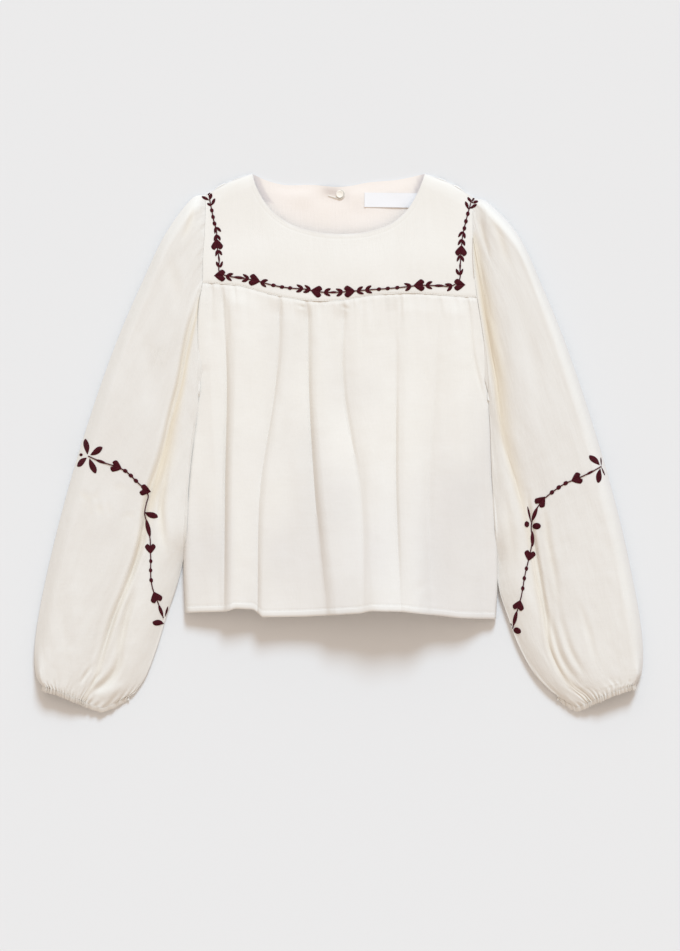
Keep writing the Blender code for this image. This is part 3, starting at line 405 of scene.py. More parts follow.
LEFT_STEM = ((-275.3, -13.6), (-261.5, -19.5), (-244.5, -25.2), (-235.1, -29.6), (-229.0, -34.7),
             (-223.5, -40.4), (-213.6, -50.5), (-210.4, -56.0), (-212.5, -66.0), (-214.2, -77.0),
             (-212.5, -84.0), (-210.1, -95.0), (-208.2, -104.0), (-207.9, -115.1), (-207.4, -128.4),
             (-207.6, -138.5), (-207.0, -149.4), (-205.5, -158.0), (-202.1, -167.8), (-198.6, -177.0),
             (-194.2, -190.5))
LEFT_MOTIFS = (
    ("petal", -276.6, -11.6, "to", -279.3, 5.6), ("petal", -273.4, -12.2, "to", -259.9, -4.0),
    ("petal", -277.4, -15.2, "to", -288.6, -24.3), ("petal", -274.3, -16.0, "to", -267.8, -32.3),
    ("bead", -284.2, -11.9, 0, 0.8), ("spindle", -261.8, -19.4, 0, 1.0), ("heart", -244.5, -25.2, 0, 1.0),
    ("bead", -235.1, -29.6, 0, 1.05), ("bead", -229.0, -34.7, 0, 1.05), ("bead", -223.5, -40.4, 0, 1.05),
    ("heart", -213.2, -51.0, 40, 0.95), ("petal", -214.0, -75.0, "to", -199.9, -80.6),
    ("spindle", -210.4, -92.4, 0, 1.55), ("heart", -207.9, -115.1, 0, 0.9), ("bead", -207.4, -128.4, 0, 0.9),
    ("bead", -207.6, -138.5, 0, 0.9), ("bead", -207.0, -149.4, 0, 1.0), ("heart", -202.1, -167.8, 180, 1.0),
    ("spindle", -196.8, -183.0, 0, 1.1), ("petal", -193.6, -197.5, "to", -205.6, -195.4),
    ("sliver", -192.4, -190.0, "to", -189.0, -178.5),
)
RIGHT_STEM = ((286.3, -24.8), (273.7, -31.5), (258.7, -38.4), (247.0, -43.1), (239.4, -47.7),
              (232.0, -53.1), (220.9, -63.0), (214.5, -73.0), (210.5, -84.0), (209.6, -92.0),
              (210.9, -104.2), (209.6, -114.0), (207.8, -122.7), (204.4, -136.7), (202.1, -147.3),
              (200.4, -158.4), (198.6, -168.0), (196.2, -176.8), (192.3, -191.4), (189.8, -202.0))
RIGHT_MOTIFS = (
    ("petal", 284.6, -23.2, "to", 273.2, -12.6), ("petal", 285.4, -27.0, "to", 282.2, -42.6),
    ("sliver", 286.6, -24.0, "to", 286.3, -14.6), ("sliver", 286.6, -25.2, "to", 290.6, -34.6),
    ("spindle", 273.7, -31.5, 0, 0.8), ("heart", 258.7, -38.4, 0, 1.0), ("bead", 247.0, -43.1, 0, 1.1),
    ("bead", 239.4, -47.7, 0, 1.1), ("bead", 232.0, -53.1, 0, 1.1), ("heart", 220.4, -62.6, 180, 1.0),
    ("spindle", 213.2, -77.0, 0, 1.3), ("sliver", 209.3, -86.0, "to", 205.6, -68.6),
    ("bead", 204.8, -88.0, 0, 1.3), ("bead", 215.4, -90.1, 90, 1.8),
    ("spindle", 211.0, -104.2, 0, 1.3), ("heart", 207.8, -122.7, 0, 0.95), ("bead", 204.4, -136.7, 0, 0.95),
    ("bead", 202.1, -147.3, 0, 0.95), ("bead", 200.4, -158.4, 0, 0.95), ("heart", 196.2, -176.8, 180, 0.95),
    ("spindle", 192.3, -191.4, 0, 1.3), ("bead", 194.6, -205.0, 70, 1.7),
    ("sliver", 189.0, -200.0, "to", 182.6, -188.0),
)

# Topstitching. A row of stitches breaks where its points lie further apart than LINE_BREAK.
STITCH_LENGTH = 2.1
STITCH_PITCH = 2.9
STITCH_RADIUS = 0.21
LINE_BREAK = 4.0

# Light: a soft cool key from beyond the right shoulder, and a warm sky
KEY_ELEVATION = 35.0
KEY_AZIMUTH = 10.0
KEY_ANGLE = 18.0
KEY_STRENGTH = 2.75
KEY_COLOUR = (0.66, 0.84, 1.0)
SKY_STRENGTH = 0.79
SKY_COLOUR = (1.0, 0.875, 0.765)
CAMERA_HEIGHT = 5.0
SENSOR = 36
PICTURE_HEIGHT = 1046.1
PICTURE_MIDDLE = (0.0, -34.65)

# The table, in metres
TABLE_REACH = 6.0
TABLE_TOP = -0.0003
TABLE_COLOUR = (0.74, 0.74, 0.745, 1)

# Finishes: name, light tone, deep tone. Gauze adds its crinkle and its relief, thread its sheen, and the
# small parts their roughness, cloud size, relief and coat.
# The sleeve gauze is the same cloth a little darker, painted shade; the inside gauze is the same cloth
# lighter and warmer, painted bounce light
GAUZES = (("cream_gauze", (0.795, 0.768, 0.727), (0.768, 0.738, 0.692), 0.8, 0.27),
          ("cream_gauze_sleeve_shaded", (0.762, 0.736, 0.698), (0.74, 0.71, 0.668), 0.9, 0.32),
          ("cream_gauze_painted_bounce", (0.86, 0.798, 0.755), (0.84, 0.775, 0.722), 0.7, 0.24))
THREADS = (("burgundy_floss", (0.082, 0.004, 0.011), (0.045, 0.002, 0.006), 0.0),
           ("cream_thread", (0.77, 0.74, 0.69), (0.70, 0.67, 0.61), 0.1))
SMALL_FINISHES = (("label_weave", (0.86, 0.86, 0.88), (0.82, 0.82, 0.845), 0.7, 3000.0, 0.3, 0.0),
                  ("pearl", (0.88, 0.835, 0.77), (0.82, 0.77, 0.69), 0.45, 300.0, 0.05, 0.3))

# The weave: how close its threads lie, as an angle a metre, and how high it and its slubs stand
WEAVE_THREADS = 5200.0
WEAVE_HEIGHT = 0.16
SLUB_HEIGHT = 0.22


def smooth_curve(stations, values, at):
    """A curve through values at rising stations, with each slope taken from its neighbours."""
    stations = np.asarray(stations, float)
    values = np.asarray(values, float)
    slopes = np.gradient(values, stations, axis=0)
    at = np.clip(np.asarray(at, float), stations[0], stations[-1])
    k = np.clip(np.searchsorted(stations, at, side="right") - 1, 0, len(stations) - 2)
    width = stations[k + 1] - stations[k]
    s = (at - stations[k]) / width
    spare = (1,) * (values.ndim - 1)
    s, width = s.reshape(s.shape + spare), width.reshape(width.shape + spare)
    keep = 2 * s ** 3 - 3 * s ** 2 + 1
    leave = (s ** 3 - 2 * s ** 2 + s) * width
    arrive = (s ** 3 - s ** 2) * width
    return keep * values[k] + leave * slopes[k] + (1 - keep) * values[k + 1] + arrive * slopes[k + 1]


def x_at(edge, y):
    """Where a downward edge such as an armhole is, across, at height y."""
    points = np.array(edge)[::-1]
    return smooth_curve(points[:, 1], points[:, 0], y)


def y_at(edge, x):
    """Where an edge that runs across is, at x."""
    points = np.array(edge)
    return smooth_curve(points[:, 0], points[:, 1], x)


def along(edge, share):
    """The point a share of the way along an edge."""
    points = np.array(edge, float)
    reach = np.concatenate([[0], np.cumsum(np.hypot(*np.diff(points, axis=0).T))])
    return smooth_curve(reach / reach[-1], points, share)


def eased(share):
    """A slope that is steep at 0 and level at 1."""
    return 1 - (1 - np.clip(share, 0, 1)) ** 2


def rounded(share):
    """A quarter circle's rise, from 0 at the edge to 1."""
    return np.sqrt(1 - (1 - np.clip(share, 0, 1)) ** 2)


def domed(share):
    """A sine's rise, a thin edge that swells without a rim, from 0 at the edge to 1."""
    return np.sin(math.pi / 2 * np.clip(share, 0, 1))


def turned(share):
    """A soft step from 0 to 1."""
    share = np.clip(share, 0, 1)
    return share * share * (3 - 2 * share)


def lessened(fade, y):
    """A factor that falls from 1 below a y: by how much, from which y and over what length."""
    less, start, length = fade
    return 1 - less * turned((start - y) / length)


def noise(u, v, seed):
    """Soft lattice noise between -1 and 1, one cell a unit."""
    lattice = np.random.default_rng(seed).uniform(-1, 1, (64, 64))
    u, v = np.asarray(u, float) + 1000, np.asarray(v, float) + 1000
    i, j = np.floor(u).astype(int), np.floor(v).astype(int)
    s, t = turned(u - i), turned(v - j)
    low = lattice[i % 64, j % 64] * (1 - s) + lattice[(i + 1) % 64, j % 64] * s
    high = lattice[i % 64, (j + 1) % 64] * (1 - s) + lattice[(i + 1) % 64, (j + 1) % 64] * s
    return low * (1 - t) + high * t


def armhole_lift(share):
    """The top cloth's height along the armhole, from the shoulder (0) to the underarm (1)."""
    share = np.clip(share, 0, 1)
    return SHOULDER_TOP + ARMHOLE_LIFT * np.abs(np.sin(math.pi * share)) ** (0.7 - 0.45 * share)


def armhole_share(edge, y):
    """How far down an armhole a height y is, from 0 to 1."""
    return (edge[0][1] - y) / (edge[0][1] - edge[-1][1])


def across(kind, next_kind, z, next_z, share):
    """The height between two fold lines."""
    if kind == "edge":
        return z + (next_z - z) * (0.72 * rounded(share * 5) + 0.28 * share)
    if next_kind == "edge":
        return next_z + (z - next_z) * (0.72 * rounded((1 - share) * 3) + 0.28 * (1 - share))
    if kind == "valley":
        return z + (next_z - z) * eased(share)
    if next_kind == "valley":
        return next_z + (z - next_z) * eased(1 - share)
    return z + (next_z - z) * turned(share)


def distance_to(edge, x, y):
    """How far points lie from a chain of straight stretches, and how far along it, from 0 to 1."""
    edge = np.asarray(edge, float)
    best = np.full(np.shape(x), 1e9)
    place = np.zeros(np.shape(x))
    lengths = np.hypot(*np.diff(edge, axis=0).T)
    begins = np.concatenate([[0], np.cumsum(lengths)])
    for k, ((x0, y0), (x1, y1)) in enumerate(zip(edge, edge[1:])):
        share = np.clip(((x - x0) * (x1 - x0) + (y - y0) * (y1 - y0)) / lengths[k] ** 2, 0, 1)
        away = np.hypot(x - x0 - share * (x1 - x0), y - y0 - share * (y1 - y0))
        nearer = away < best
        best = np.where(nearer, away, best)
        place = np.where(nearer, (begins[k] + share * lengths[k]) / begins[-1], place)
    return best, place


def yoke_height(x, y):
    """The yoke's upper face over the table."""
    x, y = np.asarray(x, float), np.asarray(y, float)
    ys, lofts = zip(*YOKE_LOFT)
    loft = smooth_curve(ys, lofts, y)
    armhole_y = np.where(x < 0, x_at(LEFT_ARMHOLE, y), x_at(RIGHT_ARMHOLE, y))
    half = np.abs(armhole_y)
    z = loft * (1 - YOKE_CROWN * np.minimum(1.0, np.abs(x) / half) ** 2.4)
    share = np.where(x < 0, armhole_share(LEFT_ARMHOLE, y), armhole_share(RIGHT_ARMHOLE, y))
    edge = armhole_lift(share)
    z = edge + (z - edge) * eased((half - np.abs(x)) / ARMHOLE_ROUND)
    shoulder = np.minimum(distance_to(LEFT_SHOULDER, x, y)[0], distance_to(RIGHT_SHOULDER, x, y)[0])
    return SHOULDER_TOP + (z - SHOULDER_TOP) * rounded(shoulder / SHOULDER_ROUND)


def ditch(away):
    """How far cloth rolls down beside a seam."""
    return SEAM_DITCH * np.exp(-(away / SEAM_DITCH_WIDTH) ** 2)


def crinkled(x, y, crinkles):
    """The height of a face's soft unevenness."""
    return sum(height * noise(x / wide, y / long, seed) for height, wide, long, seed in crinkles)


def pressed(grid, creases, share=1.0):
    """Presses soft troughs and ridges into a face, each fading out at its ends. Returns where they take
    painted warm shade.
    """
    x, y = grid[..., 0], grid[..., 1]
    shaded = np.zeros(x.shape)
    for path, width, depth in creases:
        line = along(path, np.linspace(0, 1, 12))
        away, place = distance_to(line, x, y)
        fade = np.sin(math.pi * np.clip(place, 0.02, 0.98)) ** 0.7
        trough = np.exp(-(away / width) ** 2) - 0.3 * np.exp(-((away - 2.1 * width) / width) ** 2)
        grid[..., 2] -= share * depth * fade * trough
        # painted shade: a warm tint along each narrow crease
        crease_shade = min(0.8, depth / 3.5) * turned((6.5 - width) / 4)
        shaded = np.maximum(shaded, crease_shade * fade * np.exp(-(away / (1.5 * width)) ** 2))
    return shaded


def fold_line(row, fold):
    """The x and z of one fold line at the rows of the gathered front."""
    facts = dict(zip(FOLD_COLUMNS, fold))
    xs, zs = ([facts[f"{axis}_{name}"] for name in ("seam", "chest", "waist", "hem")] for axis in "xz")
    return smooth_curve(FOLD_ROWS, xs, row), smooth_curve(FOLD_ROWS, zs, row)


def side_line(armhole, side, rows):
    """The gathered front's side edge at its rows: x, y and z."""
    top = YOKE_SEAM[0][1] if armhole[0][0] < 0 else YOKE_SEAM[-1][1]
    y = top + (side[-1][1] - top) * rows
    on_armhole = rows < UNDERARM_ROW
    x = np.where(y > armhole[-1][1], x_at(armhole, y), x_at(side, y))
    z = np.where(on_armhole, armhole_lift(armhole_share(armhole, y)), SIDE_TOP)
    return x, y, z


def front_panel_grid():
    """The gathered front's upper face, in millimetres."""
    rows = np.concatenate([np.linspace(0, 0.12, 34), np.linspace(0.12, 0.94, 88)[1:],
                           np.linspace(0.94, 1, 20)[1:]])
    left_x, left_y, left_z = side_line(LEFT_ARMHOLE, LEFT_SIDE, rows)
    right_x, right_y, right_z = side_line(RIGHT_ARMHOLE, RIGHT_SIDE, rows)
    lines = [("edge", FOLDS[0][1], left_x, left_z)]
    for k, fold in enumerate(FOLDS):
        x, z = fold_line(rows, fold)
        steps = FOLDS[k + 1][1] if k + 1 < len(FOLDS) else LAST_STEPS
        lines.append((fold[0], steps, x, z))
    lines.append(("edge", 0, right_x, right_z))
    columns = []
    for (kind, steps, x, z), (next_kind, _, next_x, next_z) in zip(lines, lines[1:]):
        for k in range(steps * PANEL_FINENESS):
            share = k / (steps * PANEL_FINENESS)
            if kind == "edge":
                share = 1 - math.cos(share * math.pi / 2)
            if next_kind == "edge":
                share = math.sin(share * math.pi / 2)
            columns.append((x + (next_x - x) * share, across(kind, next_kind, z, next_z, share)))
    columns.append((right_x, right_z))
    x = np.array([c[0] for c in columns]).T
    z = np.array([c[1] for c in columns]).T
    share = (x - x[:, :1]) / (x[:, -1:] - x[:, :1])
    seam_x = YOKE_SEAM[0][0] + (YOKE_SEAM[-1][0] - YOKE_SEAM[0][0]) * share
    hem_x = HEM_LINE[0][0] + (HEM_LINE[-1][0] - HEM_LINE[0][0]) * share
    seam_y = y_at(YOKE_SEAM, seam_x)
    hem_y = np.interp(hem_x, *np.array(HEM_LINE).T)
    y = seam_y * (1 - rows[:, None]) + hem_y * rows[:, None]
    y[:, 0], y[:, -1] = left_y, right_y
    swell = turned(rows / SEAM_SWELL)[:, None]
    seam_z = yoke_height(seam_x, seam_y)
    z[:, 1:-1] = (seam_z + (z - seam_z) * swell)[:, 1:-1]
    grid = np.stack([x, y, z], axis=2)
    shaded, greyed = finish_panel(grid, seam_y, hem_y)
    return grid, shaded, greyed


def finish_panel(grid, seam_y, hem_y):
    """Gathers, creases, crinkle, the seam's ditch and the turned hem. Returns where painted shade warms and
    greys it.
    """
    x, y = grid[..., 0], grid[..., 1]
    from_seam = seam_y - y
    inside = np.minimum(np.arange(x.shape[1]), np.arange(x.shape[1])[::-1])[None, :]
    keep = turned(inside / SIDE_COLUMNS)
    for seam_x, tip_x, tip_y, width, depth in SEAM_GATHERS:
        share = np.clip(from_seam / (y_at(YOKE_SEAM, seam_x) - tip_y), 0, 1)
        at = seam_x + (tip_x - seam_x) * share
        wide = width * (1 + 1.2 * share)
        away = np.abs(x - at)
        fade = (1 - share) ** 0.9 * (0.3 + 0.7 * turned(from_seam / 6.0))
        trough = np.exp(-(away / wide) ** 2) - 0.4 * np.exp(-((away - 2 * wide) / wide) ** 2)
        grid[..., 2] -= depth * fade * trough * keep
    ripple = np.sin(2 * math.pi * (x / FINE_GATHER_PITCH + 0.8 * noise(x / 11, y / 60, 3)))
    ripple *= np.exp(-from_seam / FINE_GATHER_REACH) * turned(from_seam / 3.0)
    grid[..., 2] += FINE_GATHER_LIFT * ripple * keep
    shaded = pressed(grid, BODY_CREASES, BODY_CREASE_SHARE)
    up = y - hem_y
    turned_up = HEM_SWELL * turned((HEM_DEPTH - up) / 1.2)
    stitched_down = HEM_STITCH_DIP * np.exp(-((up - HEM_DEPTH + HEM_STITCH_IN) / 0.8) ** 2)
    edge_roll = HEM_EDGE_ROLL * np.exp(-up ** 2)
    puckers = crinkled(x, up, HEM_PUCKERS) * np.exp(-((up - HEM_DEPTH * 0.6) / 6.0) ** 2)
    hem = turned_up - stitched_down - edge_roll + puckers
    grid[..., 2] += (crinkled(x, y, PANEL_CRINKLES) - ditch(from_seam) + hem) * keep
    # painted shade: grey towards the bottom and along the lower left side, with some random tone
    right = turned((x - 70) / 60)
    lower = turned((60 + 60 * right - y) / 190) * turned((x + 150) / 120)
    lower_left = turned((-112 - x) / 12) * turned((10 - y) / 110)
    greyed = (0.42 + 0.06 * right) * lower + 0.3 * lower_left + 0.16 * noise(x / 34, y / 60, 17)
    return BODY_FOLD_SHADE * shaded, np.clip(greyed, 0, 1)


def yoke_grid():
    """The yoke's upper face, from the shoulders and the neckline down to the seam, and where painted shade
    greys it.
    """
    left = along(LEFT_SHOULDER, np.linspace(0, 1, 26)[:-1])
    neck = along(FRONT_NECK, np.linspace(0, 1, 96)[:-1])
    right = along(RIGHT_SHOULDER, np.linspace(0, 1, 26))
    top = np.concatenate([left, neck, right])
    seam_x = np.interp(top[:, 0], (LEFT_SHOULDER[0][0], RIGHT_SHOULDER[-1][0]),
                       (YOKE_SEAM[0][0], YOKE_SEAM[-1][0]))
    seam_y = y_at(YOKE_SEAM, seam_x) + SEAM_GAP
    share = np.linspace(0, 1, 86)[:, None]
    share = 0.35 * share + 0.65 * np.sin(share * math.pi / 2) ** 2
    x = top[:, 0] + (seam_x - top[:, 0]) * share
    y = top[:, 1] + (seam_y - top[:, 1]) * share
    x[:, 0], x[:, -1] = x_at(LEFT_ARMHOLE, y[:, 0]), x_at(RIGHT_ARMHOLE, y[:, -1])
    grid = np.stack([x, y, yoke_height(x, y)], axis=2)
    from_neck = distance_to(along(FRONT_NECK, np.linspace(0, 1, 60)), x, y)[0]
    from_armhole = np.minimum(np.abs(x - x[:, :1]), np.abs(x - x[:, -1:]))
    room = turned(from_armhole / 8.0) * turned(from_neck / 3.0)
    stitched_down = np.exp(-((from_neck - NECK_STITCH_IN) / 0.9) ** 2)
    edge_roll = np.exp(-(from_neck / 0.8) ** 2)
    grid[..., 2] += room * crinkled(x, y, YOKE_CRINKLES)
    grid[..., 2] -= 0.8 * ditch(y - seam_y) * turned(from_armhole / 3.0)
    grid[..., 2] -= NECK_DIP * (stitched_down + edge_roll) * turned(from_armhole / 6.0)
    from_top = np.hypot(x - x[:1], y - y[:1])
    # painted shade: a grey line along the neckline and shoulder edge
    return grid, 0.4 * (1 - turned(from_top / 2.6))


def back_grid():
    """The back, flat on the table, with the slit at the centre of its neck, and where painted shade greys it.
    """
    left = along(LEFT_SHOULDER, np.linspace(0, 1, 12)[:-1])
    right = along(RIGHT_SHOULDER, np.linspace(0, 1, 12))
    neck_x = np.concatenate([np.linspace(BACK_NECK[0][0], SLIT_AT - 4, 28),
                             np.linspace(SLIT_AT - 3, SLIT_AT + 3, 13),
                             np.linspace(SLIT_AT + 4, BACK_NECK[-1][0], 28)[:-1]])
    neck = np.stack([neck_x, y_at(BACK_NECK, neck_x)], axis=1)
    top = np.concatenate([left, neck, right])
    hem_x = np.interp(top[:, 0], (top[0, 0], top[-1, 0]), (LEFT_SIDE[-1][0], RIGHT_SIDE[-1][0]))
    hem_y = np.interp(hem_x, *np.array(HEM_LINE).T) + BACK_HEM_SHORT
    share = np.concatenate([np.linspace(0, 0.2, 40), np.linspace(0.2, 1, 60)[1:]])[:, None]
    x = top[:, 0] + (hem_x - top[:, 0]) * share
    y = top[:, 1] + (hem_y - top[:, 1]) * share
    for column, armhole, side in ((0, LEFT_ARMHOLE, LEFT_SIDE), (-1, RIGHT_ARMHOLE, RIGHT_SIDE)):
        edge_y = y[:, column]
        x[:, column] = np.where(edge_y > armhole[-1][1], x_at(armhole, edge_y), x_at(side, edge_y))
    from_neck = y_at(BACK_NECK, np.clip(x, -90, 88)) - y
    placket = np.exp(-((x - PLACKET_AT) / 11.0) ** 2) * np.exp(-(from_neck / 8.0) ** 2)
    inside = turned((x + 95) / 20) * turned((90 - x) / 20) * turned(from_neck / 12) * (y > 150)
    slit = np.exp(-((x - SLIT_AT) / 0.5) ** 2) * (from_neck < SLIT_DEPTH)
    z = GAUZE + PLACKET_LIFT * placket + 0.5 * inside * (1 + noise(x / 21, y / 17, 71)) - 0.1 * slit
    in_front = distance_to(along(FRONT_NECK, np.linspace(0, 1, 60)), x, y)[0]
    # painted shade: grey strips under the front neckline's sides, at the placket and beside the button
    under_left = (1 - turned((in_front - 5.5) / 3.0)) * turned((y - 262) / 6)
    under_right = (1 - turned((in_front - 3.0) / 3.5)) * turned((y - 272) / 6)
    under_placket = 0.6 * np.exp(-(((x + 9.0) / 9.5) ** 4 + ((from_neck - 5.0) / 4.2) ** 4))
    under_button = 0.3 * np.exp(-((x - 7.5) / 3.0) ** 2 - ((from_neck - 12) / 7) ** 2)
    greyed = np.where(x < 0, under_left, under_right)
    return np.stack([x, y, z], axis=2), np.maximum(greyed, np.maximum(under_placket, under_button))


def places_across(valley_at):
    """Where a sleeve ring's points lie across the sleeve: upper, then under."""
    lobe = (1 - np.cos(np.linspace(0, math.pi, LOBE_STEPS + 1))) / 2 * valley_at
    lobe = 0.5 * lobe + 0.5 * np.linspace(0, valley_at, LOBE_STEPS + 1)
    inner = valley_at + (1 - np.cos(np.linspace(0, math.pi, INNER_STEPS + 1))) / 2 * (1 - valley_at)
    under = (1 + np.cos(np.linspace(0, math.pi, UNDER_STEPS + 1))) / 2
    return np.concatenate([lobe, inner[1:]]), under[1:-1]


def armhole_ring(side, body):
    """The sleeve's first ring, along the armhole seam. At the underarm it laps on to the body."""
    armhole = side["armhole"]
    upper, under = places_across(side["valley_start"])
    shares = np.concatenate([upper, under])
    ys = armhole[0][1] + (armhole[-1][1] - armhole[0][1]) * shares
    lap = turned((shares - LAP_ARMHOLE) / (LAP_FULL - LAP_ARMHOLE)) * (np.arange(len(shares)) < len(upper))
    heights = np.concatenate([armhole_lift(upper), np.zeros(len(under))])
    heights[0] = SHOULDER_TOP / 2
    heights += (np.interp(ys, *body) + LAP_CLEAR + LAP_LIP - heights) * lap
    away = SEAM_GAP - (SEAM_GAP + LAP) * lap
    return np.stack([x_at(armhole, ys) + side["outward"] * away, ys, heights], axis=1)


def body_side(panel_face, outward):
    """How high the body stands a lap's width in from its side edge: y, from the hem up, and height."""
    face = panel_face if outward < 0 else panel_face[:, ::-1]
    y = face[:, 0, 1]
    inward = np.abs(face[..., 0] - face[:, :1, 0])
    height = np.array([np.interp(LAP, across_row[:LAP_COLUMNS], tall[:LAP_COLUMNS])
                       for across_row, tall in zip(inward, face[..., 2])])
    return y[::-1], height[::-1]


def sleeve_ring(section, side, body):
    """One ring of a sleeve: over the lobe, the valley and the inner lobe, and back flat on the table.

    Beside the body the inner edge laps on to it, a thin double edge that lies on the body's slope.
    """
    s = dict(zip(SLEEVE_COLUMNS, section))
    lap = turned((LAP_FROM - s["in_y"]) / LAP_FADE) * turned((s["in_y"] - LAP_TO) / LAP_END_FADE)
    low = (np.interp(s["in_y"], *body) + LAP_CLEAR) * lap
    outer = np.array((s["out_x"], s["out_y"]))
    inner = np.array((s["in_x"] - side["outward"] * LAP * lap, s["in_y"]))
    reach = float(np.hypot(*(inner - outer)))
    upper, under = places_across(s["valley_at"])
    outer_round = side["round"] * lessened(SLIMMER, s["out_y"])
    crown = OUTER_EDGE + (s["lobe"] - OUTER_EDGE) * domed(upper * reach / outer_round)
    fall = eased((1 - upper / s["valley_at"]) / LOBE_FALL)
    lobe = s["valley"] + (crown - s["valley"]) * fall
    rise = eased((upper - s["valley_at"]) / (1 - s["valley_at"]) / INNER_RISE)
    fill = s["valley"] + (s["inner"] - s["valley"]) * rise
    inner_edge = min(side["inner_edge"], s["inner"] / 2)
    inner_edge += (low + LAP_LIP - inner_edge) * lap
    inner_round = INNER_ROUND + (LAP_ROUND - INNER_ROUND) * lap
    fill = inner_edge + (fill - inner_edge) * domed((1 - upper) * reach / inner_round)
    heights = np.where(upper <= s["valley_at"], lobe, fill)
    heights[0] = OUTER_EDGE
    below = OUTER_EDGE * (1 - rounded(under * reach / OUTER_EDGE))
    from_edge = (1 - under) * reach
    free = inner_edge * (1 - rounded(from_edge / inner_edge))
    lip = (inner_edge - low) * (1 - rounded(from_edge / LAP_LIP_ROUND))
    lapped = lip + low * (1 - turned((from_edge - 3.0) / 5.0))
    below = below + free * (1 - lap) + lapped * lap
    shares = np.concatenate([upper, under])
    hand = np.array((-(inner - outer)[1], (inner - outer)[0])) / reach
    hand = hand if hand[1] < 0 else -hand
    corner = np.minimum(shares / side["lowest"], (1 - shares) / (1 - side["lowest"]))
    bow = np.sin(math.pi * shares ** (math.log(0.5) / math.log(side["lowest"])))
    bow = s["bow"] * (0.4 * bow + 0.6 * corner)
    plan = outer + shares[:, None] * (inner - outer) + bow[:, None] * hand
    return np.column_stack([plan, np.concatenate([heights, below])]), hand


def sleeve_grid(side, body):
    """A sleeve's outer face, a closed ring of points a row, where painted shade warms and greys it, and the
    hand's way.
    """
    seed = side["seed"]
    rings = [armhole_ring(side, body)]
    for section in side["sections"]:
        ring, hand = sleeve_ring(section, side, body)
        rings.append(ring)
    last = len(rings) - 1
    rows = np.concatenate([np.linspace(0, 1, 20)[:-1], np.linspace(1, last - 3, SLEEVE_ROWS - 50)[:-1],
                           np.linspace(last - 3, last, 31)])
    grid = smooth_curve(np.arange(last + 1), np.array(rings), rows)
    share = np.linspace(0, 1, UPPER)[None, :].repeat(len(rows), axis=0)
    middle = grid[:, UPPER // 2, :2]
    travelled = np.concatenate([[0], np.cumsum(np.hypot(*np.diff(middle, axis=0).T))])[:, None]
    top = grid[:, :UPPER]
    edge = turned(np.minimum(share, 1 - share) / 0.04)
    top[..., 2] -= edge * gathered(share, travelled, HEAD_GATHERS, seed)
    at_cuff = edge * gathered(share, travelled[-1] - travelled, CUFF_GATHERS, seed + 1)
    top[..., 2] -= at_cuff
    # painted shade: warm tint in the creases, the cuff's gathers and beside the valley
    creased = pressed(top, side["creases"]) * lessened(COOLER, top[..., 1])
    shaded = np.maximum(creased, np.clip(CUFF_FOLD_SHADE * at_cuff, 0, MOST_CUFF_FOLD_SHADE))
    shaded = np.maximum(shaded, valley_shade(top, side["valley_shading"]))
    x, away = top[..., 0], travelled + 0 * share
    rolls = noise(share * 7, away / 60, seed + 2)
    slanted = 0.45 * noise(share * 15, away / 34 + share * 5, seed + 3)
    fine = 0.16 * noise(share * 40, away / 11, seed + 4)
    crumpled = np.clip(1.5 * noise(share * 4, away / 48, seed + 5) - 0.15, 0, 1)
    crumples = 0.2 * noise(share * 10, away / 3.6, seed + 6) + 0.2 * noise(share * 22, away / 9, seed + 7)
    top[..., 2] += edge * (rolls + slanted + fine + crumpled * crumples)
    top[..., 2] -= 0.45 * ditch(np.abs(x - x[:1])) * edge * (travelled < HEAD_DITCH_REACH)
    grid[..., 2] = np.maximum(grid[..., 2], 0)
    top[..., 2] = np.maximum(top[..., 2], np.minimum(LEAST_LOFT, top[..., 2] + 2.0))
    # painted shade: greyer where the sleeve stands high, and on the right sleeve's outer rim
    aloft = LOFT_SHADE_SHARE * np.clip((top[..., 2] - LOFT_FROM) / LOFT_REACH, 0, 1)
    width = np.hypot(*(top[:, -1, :2] - top[:, 0, :2]).T)[:, None]
    rim = side["rim"] * (1 - turned(share * width / RIM_REACH))
    under = np.zeros((len(rows), grid.shape[1] - UPPER))
    return grid, np.hstack([shaded, under]), np.hstack([np.maximum(aloft, rim), under]), hand


def valley_shade(top, valley_shading):
    """How much painted warm shade lies beside the lengthwise valley, where gauze lies against gauze."""
    valley = top[:, LOBE_STEPS, :2]
    away = distance_to(valley[::4], top[..., 0], top[..., 1])[0]
    ys, lobe_reach, inner_reach, strength = np.array(valley_shading)[::-1].T
    y = top[..., 1]
    on_lobe = (np.arange(top.shape[1]) <= LOBE_STEPS)[None, :]
    reach = np.where(on_lobe, np.interp(y, ys, lobe_reach), np.interp(y, ys, inner_reach))
    return np.interp(y, ys, strength) * np.exp(-(away / reach) ** 2)


def gathered(share, away, gathers, seed):
    """The depth of a row of gathers that start at a seam, uneven in place, reach and depth."""
    count, first, last, reach, width, depth = gathers
    rng = np.random.default_rng(seed)
    places = first + (last - first) * (np.arange(count) + rng.uniform(0.2, 0.8, count)) / count
    total = np.zeros(np.broadcast(share, away).shape)
    for place in places:
        own_reach = reach * (0.22 + 0.78 * rng.uniform(0, 1) ** 2)
        own_depth = depth * rng.uniform(0.4, 1.0)
        lean = rng.uniform(-0.012, 0.012)
        along_it = np.clip(away / own_reach, 0, 1)
        wide = width * (1 + 1.0 * along_it)
        off = np.abs(share - place - lean * along_it)
        trough = np.exp(-(off / wide) ** 2) - 0.45 * np.exp(-((off - 1.9 * wide) / wide) ** 2)
        total += own_depth * (1 - along_it) ** 1.2 * trough
    return total


